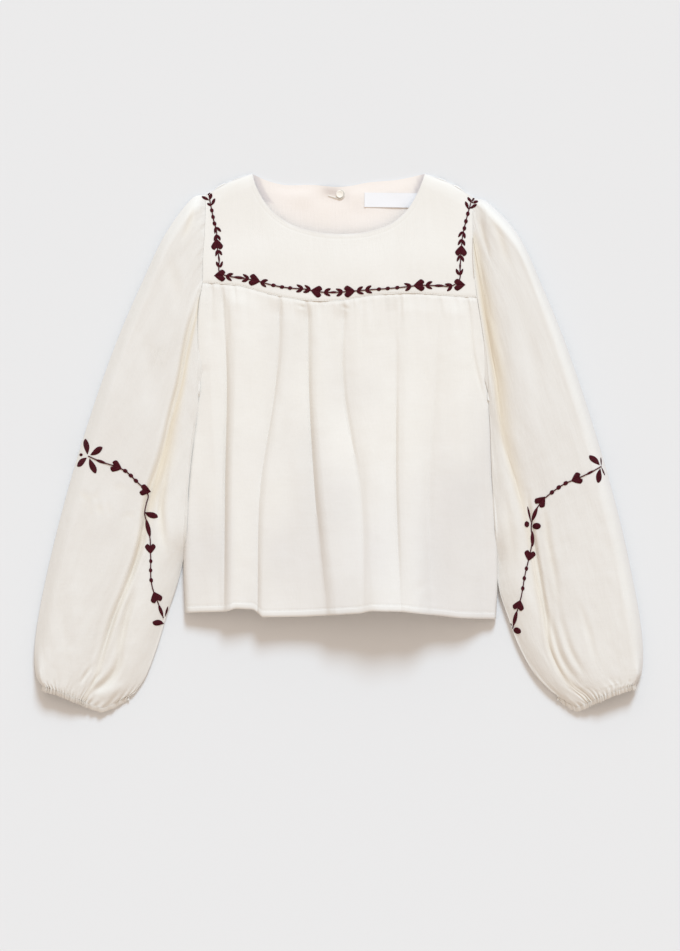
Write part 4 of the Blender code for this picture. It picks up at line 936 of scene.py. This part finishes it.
def cuff_grid(end_ring, hand, seed):
    """The elastic casing past the sleeve's last ring, swelled and ruched into small scallops."""
    share = np.concatenate([np.linspace(0, 1, UPPER), np.linspace(1, 0, UNDER_STEPS + 1)[1:-1]])
    wave = share * CUFF_SCALLOPS + 1.1 * noise(share * 8, 0 * share, seed)
    scallop = np.abs(np.sin(math.pi * wave)) ** 0.7 * (0.7 + 0.6 * noise(share * 13, 0 * share, seed + 1))
    is_upper = np.arange(len(share)) < UPPER
    edge = turned(np.minimum(share, 1 - share) / 0.05)
    rings = []
    for out in np.linspace(0, 1, CUFF_ROWS):
        ring = end_ring.copy()
        swell = math.sin(math.pi * out) ** 0.6 * CUFF_SWELL
        lip = CUFF_LIP * out * (scallop - 0.4)
        ring[:, :2] += hand * (SEAM_GAP + CUFF_LENGTH * out + lip * is_upper)[:, None]
        ruche = CUFF_RUCHE * (scallop - 0.6) * (0.5 + 0.5 * out)
        ring[:, 2] += np.where(is_upper, edge * (swell + ruche - CUFF_TILT * out), 0)
        rings.append(ring)
    return np.array(rings)


def face_normals(grid, ring):
    """The outward direction at each point of a grid whose rows run down and columns run across."""
    down = np.gradient(grid, axis=0)
    if ring:
        over = np.roll(grid, -1, axis=1) - np.roll(grid, 1, axis=1)
    else:
        over = np.gradient(grid, axis=1)
    normals = np.cross(down, over)
    return normals / np.maximum(np.linalg.norm(normals, axis=2, keepdims=True), 1e-9)


def add_object(name, data):
    """An object of a mesh, light or camera, in the scene."""
    made = bpy.data.objects.new(name, data)
    bpy.context.scene.collection.objects.link(made)
    return made


def cloth_piece(name, outer, thickness, material, ring=False, turn=1, shaded=None, greyed=None):
    """A closed wall of cloth on a grid in millimetres, with the cloth's own run as its UV map."""
    rows, columns = outer.shape[:2]
    inner = outer - turn * face_normals(outer, ring) * thickness
    points = np.concatenate([outer.reshape(-1, 3), inner.reshape(-1, 3)]) * MM
    r, c = np.meshgrid(np.arange(rows - 1), np.arange(columns if ring else columns - 1), indexing="ij")
    a = (r * columns + c).ravel()
    b = (r * columns + (c + 1) % columns).ravel()
    cells = np.stack([a, a + columns, b + columns, b], axis=1)
    step = rows * columns
    faces = [cells, cells[:, ::-1] + step, rim_faces(rows, columns, ring, step)]
    mesh = bpy.data.meshes.new(name)
    mesh.from_pydata(points.tolist(), [], np.concatenate(faces).tolist())
    write_uv(mesh, outer)
    shaded = np.zeros((rows, columns)) if shaded is None else shaded
    greyed = np.zeros((rows, columns)) if greyed is None else greyed
    # painted shade: the warm fold shade and the grey shade, kept as attributes for the material
    for label, values in (("painted_fold_shade", shaded), ("loft", greyed)):
        layer = mesh.attributes.new(label, "FLOAT", "POINT")
        layer.data.foreach_set("value", np.tile(values.ravel(), 2).astype(np.float32))
    work = bmesh.new()
    work.from_mesh(mesh)
    bmesh.ops.recalc_face_normals(work, faces=work.faces)
    work.to_mesh(mesh)
    work.free()
    mesh.shade_smooth()
    mesh.set_sharp_from_angle(angle=math.radians(60))
    mesh.materials.append(material)
    return add_object(name, mesh)


def rim_faces(rows, columns, ring, step):
    """The faces that close the wall along the grid's border."""
    wrap = columns if ring else columns - 1
    pairs = []
    for start in (0, (rows - 1) * columns):
        pairs += [(start + c, start + (c + 1) % columns) for c in range(wrap)]
    if not ring:
        pairs += [(r * columns + c, (r + 1) * columns + c) for c in (0, columns - 1) for r in range(rows - 1)]
    return np.array([(i, j, j + step, i + step) for i, j in pairs])


def write_uv(mesh, outer):
    """A UV map in metres along the cloth, across it and down it."""
    u_steps = np.linalg.norm(np.diff(outer, axis=1), axis=2).mean(axis=0)
    v_steps = np.linalg.norm(np.diff(outer, axis=0), axis=2).mean(axis=1)
    u = np.concatenate([[0], np.cumsum(u_steps)]) * MM
    v = np.concatenate([[0], np.cumsum(v_steps)]) * MM
    flat = np.stack(np.broadcast_arrays(u[None, :], v[:, None]), axis=2).reshape(-1, 2)
    flat = np.concatenate([flat, flat])
    corners = np.zeros(len(mesh.loops), int)
    mesh.loops.foreach_get("vertex_index", corners)
    layer = mesh.uv_layers.new(name="cloth")
    layer.data.foreach_set("uv", flat[corners].ravel())


def surface_of(pieces):
    """A tree for finding a piece's upper face from above."""
    points, faces = [], []
    for piece in pieces:
        start = len(points)
        points += [v.co.copy() for v in piece.data.vertices]
        faces += [tuple(i + start for i in p.vertices) for p in piece.data.polygons]
    return BVHTree.FromPolygons(points, faces)


def height_at(tree, x, y):
    """The cloth's height in millimetres under a plan point, or None beside the cloth."""
    place, _, _, _ = tree.ray_cast(Vector((x * MM, y * MM, OVER_ALL)), Vector((0, 0, -1)))
    return None if place is None else place.z / MM


def stem_way(stem, x, y):
    """The direction of a stem at its point nearest to x, y."""
    line = along(stem, np.linspace(0, 1, 240))
    k = int(np.argmin(np.hypot(line[:, 0] - x, line[:, 1] - y)))
    k = min(max(k, 2), len(line) - 3)
    ahead = line[k + 2] - line[k - 2]
    return math.atan2(ahead[1], ahead[0])


def leaf_threads(length, width, fullness=0.85, bend=0.0):
    """Threads across a leaf from its foot at 0 to its tip: two ends each, along and across."""
    threads = []
    for a in np.arange(0.3, length - 0.1, THREAD_PITCH):
        half = width / 2 * math.sin(math.pi * (a / length) ** fullness) ** 0.7
        lean = 0.35 * half
        side = bend * (a / length) ** 2
        threads.append(((a - lean, side - half), (a + lean, side + half)))
    return [threads]


def heart_threads(length, width):
    """A heart in two halves, its tip at 0 and a notch between its lobes."""
    halves = []
    for side in (-1, 1):
        threads = []
        for a in np.arange(0.3, length - 0.15, THREAD_PITCH):
            s = a / length
            if s < 0.64:
                half = width / 2 * (0.7 * (s / 0.64) ** 0.9 + 0.3 * math.sin(s / 0.64 * math.pi / 2))
            else:
                half = width / 2 * math.sqrt(max(0.0, 1 - ((s - 0.64) / 0.37) ** 2)) ** 0.85
            notch = width * 0.22 * max(0.0, (s - 0.8) / 0.2)
            if half - notch > 0.25:
                threads.append(((a - 0.3, side * notch), (a + 0.3, side * half)))
        halves.append(threads)
    return halves


def bead_threads(length, width):
    """A round or oval bead of thread about its middle."""
    threads = []
    for a in np.arange(-length / 2 + 0.25, length / 2, THREAD_PITCH):
        half = width / 2 * math.sqrt(max(0.01, 1 - (2 * a / length) ** 2))
        threads.append(((a - 0.15, -half), (a + 0.15, half)))
    return [threads]


def placed(groups, x, y, angle, back=0.0):
    """Motif threads in plan, with the point `back` along the motif put at x, y."""
    way, side = np.array((math.cos(angle), math.sin(angle))), np.array((-math.sin(angle), math.cos(angle)))
    out = []
    for threads in groups:
        ends = np.array(threads, float)
        out.append(np.array((x, y)) + (ends[..., :1] - back) * way + ends[..., 1:] * side)
    return out


def motif(stem, row):
    """The thread groups of one row of a motif table."""
    kind, x, y = row[:3]
    if row[3] == "to":
        length = math.hypot(row[4] - x, row[5] - y)
        angle = math.atan2(row[5] - y, row[4] - x)
        width = SIZES[kind][1] * min(1.0, length / SIZES[kind][0] * 1.15)
        return placed(leaf_threads(length, width, 1.3), x, y, angle)
    turn, size = row[3:]
    angle = stem_way(stem, x, y) + math.radians(turn)
    if kind == "heart_set":
        angle = math.radians(turn)
        kind = "heart"
    length, width = (size * part for part in SIZES.get(kind, SIZES["leaf"]))
    if kind == "heart":
        return placed(heart_threads(length, width), x, y, angle + math.pi, length / 2)
    if kind == "bead":
        return placed(bead_threads(length, width), x, y, angle)
    if kind == "spindle":
        return placed(leaf_threads(length, width, 1.0), x, y, angle, length / 2)
    if kind == "leaf":
        return placed(leaf_threads(length, width), x, y, angle)
    pair = []
    for side in (-1, 1):
        bent = leaf_threads(length, width, 0.9, -side * 1.3)
        pair += placed(bent, x, y, angle + side * math.radians(PAIR_TURN))
    return pair


def sewn_on(name, mesh):
    """A piece of thread work, which rides with the cloth."""
    piece = add_object(name, mesh)
    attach(piece, "root")


def embroidered(name, stem, motifs, cloth, material):
    """A vine of satin-stitched motifs and a corded stem, lying on the cloth."""
    tree = surface_of(cloth)
    groups = [group for row in motifs for group in motif(stem, row)]
    spans, rise = np.array(SATIN_ARCH).T
    count = len(spans)
    points, edges, pads, pad_faces = [], [], [], []
    for group in groups:
        wide = np.hypot(*(group[:, 1] - group[:, 0]).T)
        line = group[:, :1] + (group[:, 1:] - group[:, :1]) * spans[None, :, None]
        lift = rise[None, :] * np.minimum(1.0, wide[:, None] / FULL_ARCH)
        rows = []
        for k in range(len(line)):
            heights = [height_at(tree, *p) for p in line[k]]
            if any(h is None for h in heights):
                continue
            rows.append(np.column_stack([line[k], np.array(heights) + lift[k] + THREAD_CLEAR]))
        for k, row in enumerate(rows):
            start = len(points)
            points += [p * MM for p in row]
            edges += [(start + j, start + j + 1) for j in range(count - 1)]
            pads += [(p - (0, 0, THREAD / 2)) * MM for p in row]
            if k:
                base = len(pads) - 2 * count
                pad_faces += [(base + j, base + j + count, base + j + count + 1, base + j + 1)
                              for j in range(count - 1)]
    threads = bpy.data.meshes.new(name)
    threads.from_pydata(points, edges, [])
    line = add_object(name, threads)
    swept = worked(line, thread_tree(material), {"Thread radius": THREAD * MM, "Sides": 5})
    stem_line = drawn_line("stem", along(stem, np.linspace(0, 1, 700)), tree, STEM_LIFT)
    pitch, length, radius = STEM_STITCH
    cord = worked(stem_line, stitch_tree(material),
                  {"Pitch": pitch * MM, "Length": length * MM, "Radius": radius * MM})
    pad = bpy.data.meshes.new(name + "_pad")
    pad.from_pydata(pads, [], pad_faces)
    work = bmesh.new()
    for mesh in (swept, cord, pad):
        work.from_mesh(mesh)
    made = bpy.data.meshes.new(name)
    work.to_mesh(made)
    work.free()
    made.materials.append(material)
    made.shade_smooth()
    sewn_on(name, made)


def drawn_line(name, plan, tree, lift):
    """A line on the cloth through plan points, as a mesh of edges."""
    points = []
    for x, y in plan:
        z = height_at(tree, x, y)
        if z is not None:
            points.append((x * MM, y * MM, (z + lift) * MM))
    mesh = bpy.data.meshes.new(name)
    near = [(k, k + 1) for k in range(len(points) - 1)
            if math.dist(points[k], points[k + 1]) < LINE_BREAK * MM]
    mesh.from_pydata(points, near, [])
    return add_object(name, mesh)


def worked(line, tree, sizes):
    """The mesh that a node tree makes of a line object, which is used up."""
    modifier = line.modifiers.new("work", "NODES")
    modifier.node_group = tree
    for item in tree.interface.items_tree:
        if item.name in sizes and item.in_out == "INPUT":
            modifier[item.identifier] = sizes[item.name]
    view = bpy.context.evaluated_depsgraph_get()
    mesh = bpy.data.meshes.new_from_object(line.evaluated_get(view))
    bpy.data.objects.remove(line)
    return mesh


def new_tree(name, inputs):
    """An empty geometry tree with named inputs: kind of socket and value."""
    tree = bpy.data.node_groups.new(name, "GeometryNodeTree")
    tree.interface.new_socket("Geometry", in_out="INPUT", socket_type="NodeSocketGeometry")
    for label, kind, value in inputs:
        socket = tree.interface.new_socket(label, in_out="INPUT", socket_type=kind)
        socket.default_value = value
    tree.interface.new_socket("Geometry", in_out="OUTPUT", socket_type="NodeSocketGeometry")
    return tree, tree.nodes.new("NodeGroupInput"), tree.nodes.new("NodeGroupOutput")


def wire(tree, *pairs):
    """Links sockets in a tree, from the first of each pair to the second."""
    for start, end in pairs:
        tree.links.new(start, end)


def finished(tree, geometry, material, group_out):
    """Ends a tree: realized, smooth and with its material."""
    realize = tree.nodes.new("GeometryNodeRealizeInstances")
    smooth = tree.nodes.new("GeometryNodeSetShadeSmooth")
    dye = tree.nodes.new("GeometryNodeSetMaterial")
    dye.inputs["Material"].default_value = material
    wire(tree, (geometry, realize.inputs[0]), (realize.outputs[0], smooth.inputs[0]),
         (smooth.outputs[0], dye.inputs[0]), (dye.outputs[0], group_out.inputs[0]))


def thread_tree(material):
    """Sweeps a round thread along each loose line."""
    if "satin_threads" in bpy.data.node_groups:
        return bpy.data.node_groups["satin_threads"]
    tree, given, result = new_tree("satin_threads", (("Thread radius", "NodeSocketFloat", 0.0002),
                                                     ("Sides", "NodeSocketInt", 5)))
    curve = tree.nodes.new("GeometryNodeMeshToCurve")
    circle = tree.nodes.new("GeometryNodeCurvePrimitiveCircle")
    sweep = tree.nodes.new("GeometryNodeCurveToMesh")
    sweep.inputs["Fill Caps"].default_value = True
    wire(tree, (given.outputs["Geometry"], curve.inputs[0]),
         (given.outputs["Thread radius"], circle.inputs["Radius"]),
         (given.outputs["Sides"], circle.inputs["Resolution"]),
         (curve.outputs[0], sweep.inputs["Curve"]), (circle.outputs[0], sweep.inputs["Profile Curve"]))
    finished(tree, sweep.outputs[0], material, result)
    return tree


def stitch_tree(material):
    """Lays a stitch at each pitch along a line, from small stretched beads of thread."""
    name = "stitches_" + material.name
    if name in bpy.data.node_groups:
        return bpy.data.node_groups[name]
    tree, given, result = new_tree(name, (("Pitch", "NodeSocketFloat", 0.003),
                                          ("Length", "NodeSocketFloat", 0.002),
                                          ("Radius", "NodeSocketFloat", 0.0002)))
    curve = tree.nodes.new("GeometryNodeMeshToCurve")
    spread = tree.nodes.new("GeometryNodeCurveToPoints")
    spread.mode = "LENGTH"
    bead = node(tree, "GeometryNodeMeshUVSphere", Segments=6, Rings=5, Radius=1.0)
    half = math_node(tree, "MULTIPLY", given.outputs["Length"], 0.5)
    stretch = tree.nodes.new("ShaderNodeCombineXYZ")
    lay = tree.nodes.new("GeometryNodeInstanceOnPoints")
    wire(tree, (given.outputs["Geometry"], curve.inputs[0]), (curve.outputs[0], spread.inputs["Curve"]),
         (given.outputs["Pitch"], spread.inputs["Length"]), (given.outputs["Radius"], stretch.inputs[0]),
         (given.outputs["Radius"], stretch.inputs[1]), (half, stretch.inputs[2]),
         (spread.outputs["Points"], lay.inputs["Points"]),
         (spread.outputs["Rotation"], lay.inputs["Rotation"]),
         (bead.outputs["Mesh"], lay.inputs["Instance"]), (stretch.outputs[0], lay.inputs["Scale"]))
    finished(tree, lay.outputs[0], material, result)
    return tree


def topstitched(name, plan, cloth, material):
    """A row of topstitches on the cloth."""
    line = drawn_line(name, plan, surface_of(cloth), THREAD_CLEAR)
    mesh = worked(line, stitch_tree(material),
                  {"Pitch": STITCH_PITCH * MM, "Length": STITCH_LENGTH * MM, "Radius": STITCH_RADIUS * MM})
    mesh.name = name
    sewn_on(name, mesh)


def node(tree, kind, **values):
    """A node with its settings and input values."""
    made = tree.nodes.new(kind)
    for key, value in values.items():
        if key in made.inputs:
            made.inputs[key].default_value = value
        else:
            setattr(made, key, value)
    return made


def math_node(tree, operation, *values):
    """The result of one sum on sockets or plain numbers."""
    made = node(tree, "ShaderNodeMath", operation=operation)
    for socket, value in zip(made.inputs, values):
        if isinstance(value, (int, float)):
            socket.default_value = value
        else:
            tree.links.new(value, socket)
    return made.outputs[0]


def cloud_along(tree, run, stretch, **values):
    """Noise stretched along or across the cloth's run."""
    way = node(tree, "ShaderNodeMapping", Scale=stretch)
    cloud = node(tree, "ShaderNodeTexNoise", Scale=1.0, **values)
    wire(tree, (run, way.inputs["Vector"]), (way.outputs[0], cloud.inputs["Vector"]))
    return cloud.outputs["Fac"]


def gauze_group():
    """Double gauze: a loose plain weave, with slubs, over long soft crinkles. Puts out height and tone."""
    tree = bpy.data.node_groups.new("gauze_surface", "ShaderNodeTree")
    for label, kind in (("Run", "NodeSocketVector"), ("Threads", "NodeSocketFloat"),
                        ("Crinkle", "NodeSocketFloat")):
        tree.interface.new_socket(label, in_out="INPUT", socket_type=kind)
    for label in ("Height", "Tone"):
        tree.interface.new_socket(label, in_out="OUTPUT", socket_type="NodeSocketFloat")
    given, result = tree.nodes.new("NodeGroupInput"), tree.nodes.new("NodeGroupOutput")
    run, threads = given.outputs["Run"], given.outputs["Threads"]
    wobble = node(tree, "ShaderNodeTexNoise", Scale=90.0, Detail=2.0)
    spread = node(tree, "ShaderNodeVectorMath", operation="SCALE", Scale=0.0012)
    shifted = node(tree, "ShaderNodeVectorMath", operation="ADD")
    parts = tree.nodes.new("ShaderNodeSeparateXYZ")
    wire(tree, (run, wobble.inputs["Vector"]), (wobble.outputs["Color"], spread.inputs[0]),
         (run, shifted.inputs[0]), (spread.outputs[0], shifted.inputs[1]),
         (shifted.outputs[0], parts.inputs[0]))
    waves = [math_node(tree, "SINE", math_node(tree, "MULTIPLY", parts.outputs[k], threads)) for k in (0, 1)]
    weave = math_node(tree, "MAXIMUM", *(math_node(tree, "ABSOLUTE", wave) for wave in waves))
    crinkle = cloud_along(tree, run, (330.0, 62.0, 1.0), Detail=3.0, Roughness=0.55, Distortion=0.25)
    slub = cloud_along(tree, run, (70.0, 420.0, 1.0), Detail=2.0, Roughness=0.6)
    ridges = math_node(tree, "MULTIPLY", crinkle, given.outputs["Crinkle"])
    slubs = math_node(tree, "MULTIPLY", slub, SLUB_HEIGHT)
    fine = math_node(tree, "MULTIPLY", weave, WEAVE_HEIGHT)
    height = math_node(tree, "ADD", math_node(tree, "ADD", ridges, slubs), fine)
    patches = node(tree, "ShaderNodeTexNoise", Scale=16.0, Detail=3.0)
    tone = math_node(tree, "ADD", math_node(tree, "MULTIPLY", patches.outputs["Fac"], 0.7),
                     math_node(tree, "MULTIPLY", slub, 0.3))
    wire(tree, (run, patches.inputs["Vector"]), (height, result.inputs["Height"]),
         (tone, result.inputs["Tone"]))
    return tree


def new_material(name, finish):
    """A material, its tree and its shader, with the shader's plain values set."""
    made = bpy.data.materials.new(name)
    made.use_nodes = True
    shader = made.node_tree.nodes["Principled BSDF"]
    for label, value in finish.items():
        shader.inputs[label].default_value = value
    return made, made.node_tree, shader


def two_tones(tree, share, deep, light, spread):
    """A colour between two near tones, by a share that wanders about a half."""
    ramp = node(tree, "ShaderNodeValToRGB")
    for stop, place, tone in zip(ramp.color_ramp.elements, (0.5 - spread, 0.5 + spread), (deep, light)):
        stop.position = place
        stop.color = (*tone, 1)
    tree.links.new(share, ramp.inputs[0])
    return ramp.outputs[0]


def bumped(tree, shader, height, strength, distance):
    """Fine relief on a shader."""
    relief = node(tree, "ShaderNodeBump", Strength=strength, Distance=distance)
    wire(tree, (height, relief.inputs["Height"]), (relief.outputs[0], shader.inputs["Normal"]))


def cloth_material(name, light, deep, crinkle, bump, group):
    """Cream gauze: two near tones, painted shade from two attributes, crinkle and weave as bump, a soft
    sheen.
    """
    made, tree, shader = new_material(name, {"Roughness": 0.92, "Specular IOR Level": 0.2,
                                             "Sheen Weight": 0.05, "Sheen Roughness": 0.6})
    run = node(tree, "ShaderNodeUVMap", uv_map="cloth")
    surface = node(tree, "ShaderNodeGroup", node_tree=group)
    surface.inputs["Threads"].default_value = WEAVE_THREADS
    surface.inputs["Crinkle"].default_value = crinkle
    tree.links.new(run.outputs[0], surface.inputs["Run"])
    colour = two_tones(tree, surface.outputs["Tone"], deep, light, 0.2)
    # painted shade: the colour is multiplied towards a warm tint in folds and a grey one where the cloth is
    # shaded
    for label, dye in (("painted_fold_shade", FOLD_SHADE_TINT), ("loft", LOFT_SHADE_TINT)):
        share = node(tree, "ShaderNodeAttribute", attribute_name=label)
        mix = node(tree, "ShaderNodeMix", data_type="RGBA", blend_type="MULTIPLY")
        mix.inputs[7].default_value = (*dye, 1)
        wire(tree, (share.outputs["Fac"], mix.inputs[0]), (colour, mix.inputs[6]))
        colour = mix.outputs[2]
    tree.links.new(colour, shader.inputs["Base Color"])
    bumped(tree, shader, surface.outputs["Height"], bump, 0.0012)
    return made


def thread_material(name, light, deep, sheen):
    """Embroidery or sewing thread: uneven dye along each thread and a silky sheen."""
    made, tree, shader = new_material(name, {"Roughness": 0.7, "Specular IOR Level": 0.18,
                                             "Sheen Weight": sheen})
    place = tree.nodes.new("ShaderNodeTexCoord")
    dye = node(tree, "ShaderNodeTexNoise", Scale=900.0, Detail=3.0)
    twist = node(tree, "ShaderNodeTexNoise", Scale=6000.0, Detail=1.0)
    wire(tree, (place.outputs["Object"], dye.inputs["Vector"]),
         (place.outputs["Object"], twist.inputs["Vector"]),
         (two_tones(tree, dye.outputs["Fac"], deep, light, 0.2), shader.inputs["Base Color"]))
    bumped(tree, shader, twist.outputs["Fac"], 0.3, 0.0001)
    return made


def plain_material(name, light, deep, roughness, scale, bump, coat):
    """A small part's finish: slight clouding of its colour and a fine surface."""
    made, tree, shader = new_material(name, {"Roughness": roughness, "Coat Weight": coat})
    place = tree.nodes.new("ShaderNodeTexCoord")
    cloud = node(tree, "ShaderNodeTexNoise", Scale=scale, Detail=4.0)
    wire(tree, (place.outputs["Object"], cloud.inputs["Vector"]),
         (two_tones(tree, cloud.outputs["Fac"], deep, light, 0.15), shader.inputs["Base Color"]))
    bumped(tree, shader, cloud.outputs["Fac"], bump, 0.0003)
    return made


def make_label(material):
    """The bare woven tape label, its ends folded under and tacked down."""
    half_x, half_y = LABEL_SIZE[0] / 2, LABEL_SIZE[1] / 2
    x, y = np.meshgrid(np.linspace(-half_x, half_x, 70), np.linspace(half_y, -half_y, 22))
    turn = math.radians(LABEL_TURN)
    end = np.minimum(half_x - np.abs(x), 3.0) / 3.0
    arch = 0.35 * np.sin((x + half_x) / 68 * math.pi)
    z = LABEL_BASE + 0.5 * (1 - end) + 0.18 * noise(x / 12, y / 9, 21) + arch
    grid = np.stack([LABEL_AT[0] + x * math.cos(turn) - y * math.sin(turn),
                     LABEL_AT[1] + x * math.sin(turn) + y * math.cos(turn), z], axis=2)
    return cloth_piece("label_tape", grid, 0.4, material)


def make_button(material):
    """A turned button with a raised rim and a dished face."""
    work = bmesh.new()
    ring = [work.verts.new((r * MM, 0, z * MM)) for r, z in BUTTON_PROFILE]
    edges = [work.edges.new(pair) for pair in zip(ring, ring[1:])]
    bmesh.ops.spin(work, geom=ring + edges, axis=(0, 0, 1), cent=(0, 0, 0), steps=40, angle=2 * math.pi)
    bmesh.ops.remove_doubles(work, verts=work.verts, dist=1e-6)
    bmesh.ops.recalc_face_normals(work, faces=work.faces)
    place = Vector((*BUTTON_AT, GAUZE + LAY_GAP)) * MM
    bmesh.ops.translate(work, verts=work.verts, vec=place)
    mesh = bpy.data.meshes.new("pearl_disc")
    work.to_mesh(mesh)
    work.free()
    mesh.shade_smooth()
    mesh.materials.append(material)
    return add_object("pearl_disc", mesh)


def add_light_and_camera():
    """A soft key light, an even sky, and a camera straight above."""
    scene = bpy.context.scene
    key = bpy.data.lights.new("window_light", "SUN")
    key.energy = KEY_STRENGTH
    key.color = KEY_COLOUR
    key.angle = math.radians(KEY_ANGLE)
    sun = add_object("window_light", key)
    sun.rotation_euler = (-math.radians(90 - KEY_ELEVATION), 0, -math.radians(KEY_AZIMUTH))
    scene.view_settings.view_transform = "Standard"
    scene.world = bpy.data.worlds.new("studio")
    scene.world.use_nodes = True
    sky = scene.world.node_tree.nodes["Background"]
    sky.inputs[0].default_value = (*SKY_COLOUR, 1)
    sky.inputs[1].default_value = SKY_STRENGTH
    lens = bpy.data.cameras.new("view_from_above")
    lens.sensor_fit = "AUTO"
    lens.sensor_width = SENSOR
    lens.lens = SENSOR * CAMERA_HEIGHT / (PICTURE_HEIGHT * MM)
    lens.clip_end = 30
    camera = add_object("view_from_above", lens)
    camera.location = (PICTURE_MIDDLE[0] * MM, PICTURE_MIDDLE[1] * MM, CAMERA_HEIGHT)
    bpy.context.scene.camera = camera


def add_floor():
    """A plain pale table top."""
    mesh = bpy.data.meshes.new("table_top")
    corners = ((-1, -1), (1, -1), (1, 1), (-1, 1))
    mesh.from_pydata([(TABLE_REACH * x, TABLE_REACH * y, TABLE_TOP) for x, y in corners], [], [(0, 1, 2, 3)])
    material, _, _ = new_material("pale_table", {"Base Color": TABLE_COLOUR, "Roughness": 0.9})
    mesh.materials.append(material)
    add_object("table_top", mesh)


def declare(piece, node_name):
    """Ties a cloth piece to the frame and hides the part it stands for."""
    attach(piece, "root")
    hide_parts(node_name)


def main():
    """Makes the stage, the cloth, the small parts and the thread work on the frame."""
    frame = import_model()
    add_light_and_camera()
    add_floor()
    surface = gauze_group()
    # sleeve_cloth carries painted shade, and inside painted warm bounce light
    outer, sleeve_cloth, inside = (cloth_material(*looks, surface) for looks in GAUZES)
    floss, cotton = (thread_material(*looks) for looks in THREADS)
    label_weave, pearl = (plain_material(*looks) for looks in SMALL_FINISHES)

    panel_face, panel_shade, panel_grey = front_panel_grid()
    panel = cloth_piece("gathered_front", panel_face, GAUZE, outer, shaded=panel_shade, greyed=panel_grey)
    yoke_face, yoke_grey = yoke_grid()
    yoke = cloth_piece("yoke_cloth", yoke_face, LINED_YOKE, outer, greyed=yoke_grey)
    back_face, back_grey = back_grid()
    back = cloth_piece("back_cloth", back_face, GAUZE, inside, greyed=back_grey)
    declare(panel, "front_panel")
    declare(yoke, "front_yoke")
    declare(back, "back")

    sleeves = {}
    for name, side in SIDES.items():
        grid, shaded, greyed, hand = sleeve_grid(side, body_side(panel_face, side["outward"]))
        turn = -side["outward"]
        sleeve = cloth_piece(f"balloon_sleeve_{name}", grid, GAUZE, sleeve_cloth, True, turn, shaded, greyed)
        cuff_face = cuff_grid(grid[-1], hand, side["seed"] + 9)
        cuff = cloth_piece(f"elastic_cuff_{name}", cuff_face, CASING, sleeve_cloth, True, turn)
        declare(sleeve, f"sleeve_{name}")
        declare(cuff, f"cuff_{name}")
        sleeves[name] = sleeve

    declare(make_label(label_weave), "neck_label")
    button = make_button(pearl)
    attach(button, "root")
    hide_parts("back_button")
    frame["nodes"]["back_loop"].material_slots[0].material = cotton

    embroidered("vine_yoke", YOKE_STEM, YOKE_MOTIFS, [yoke, *sleeves.values()], floss)
    embroidered("vine_sleeve_left", LEFT_STEM, LEFT_MOTIFS, [sleeves["left"]], floss)
    embroidered("vine_sleeve_right", RIGHT_STEM, RIGHT_MOTIFS, [sleeves["right"]], floss)

    seam = along(YOKE_SEAM, np.linspace(0.005, 0.995, 400))
    topstitched("yoke_edge_stitches", seam + (0, YOKE_STITCH_IN), [yoke], cotton)
    hem_x = np.linspace(-169, 170, 700)
    hem_y = np.interp(hem_x, *np.array(HEM_LINE).T) + HEM_DEPTH - HEM_STITCH_IN
    topstitched("hem_stitches", np.stack([hem_x, hem_y], axis=1), [panel], cotton)


main()
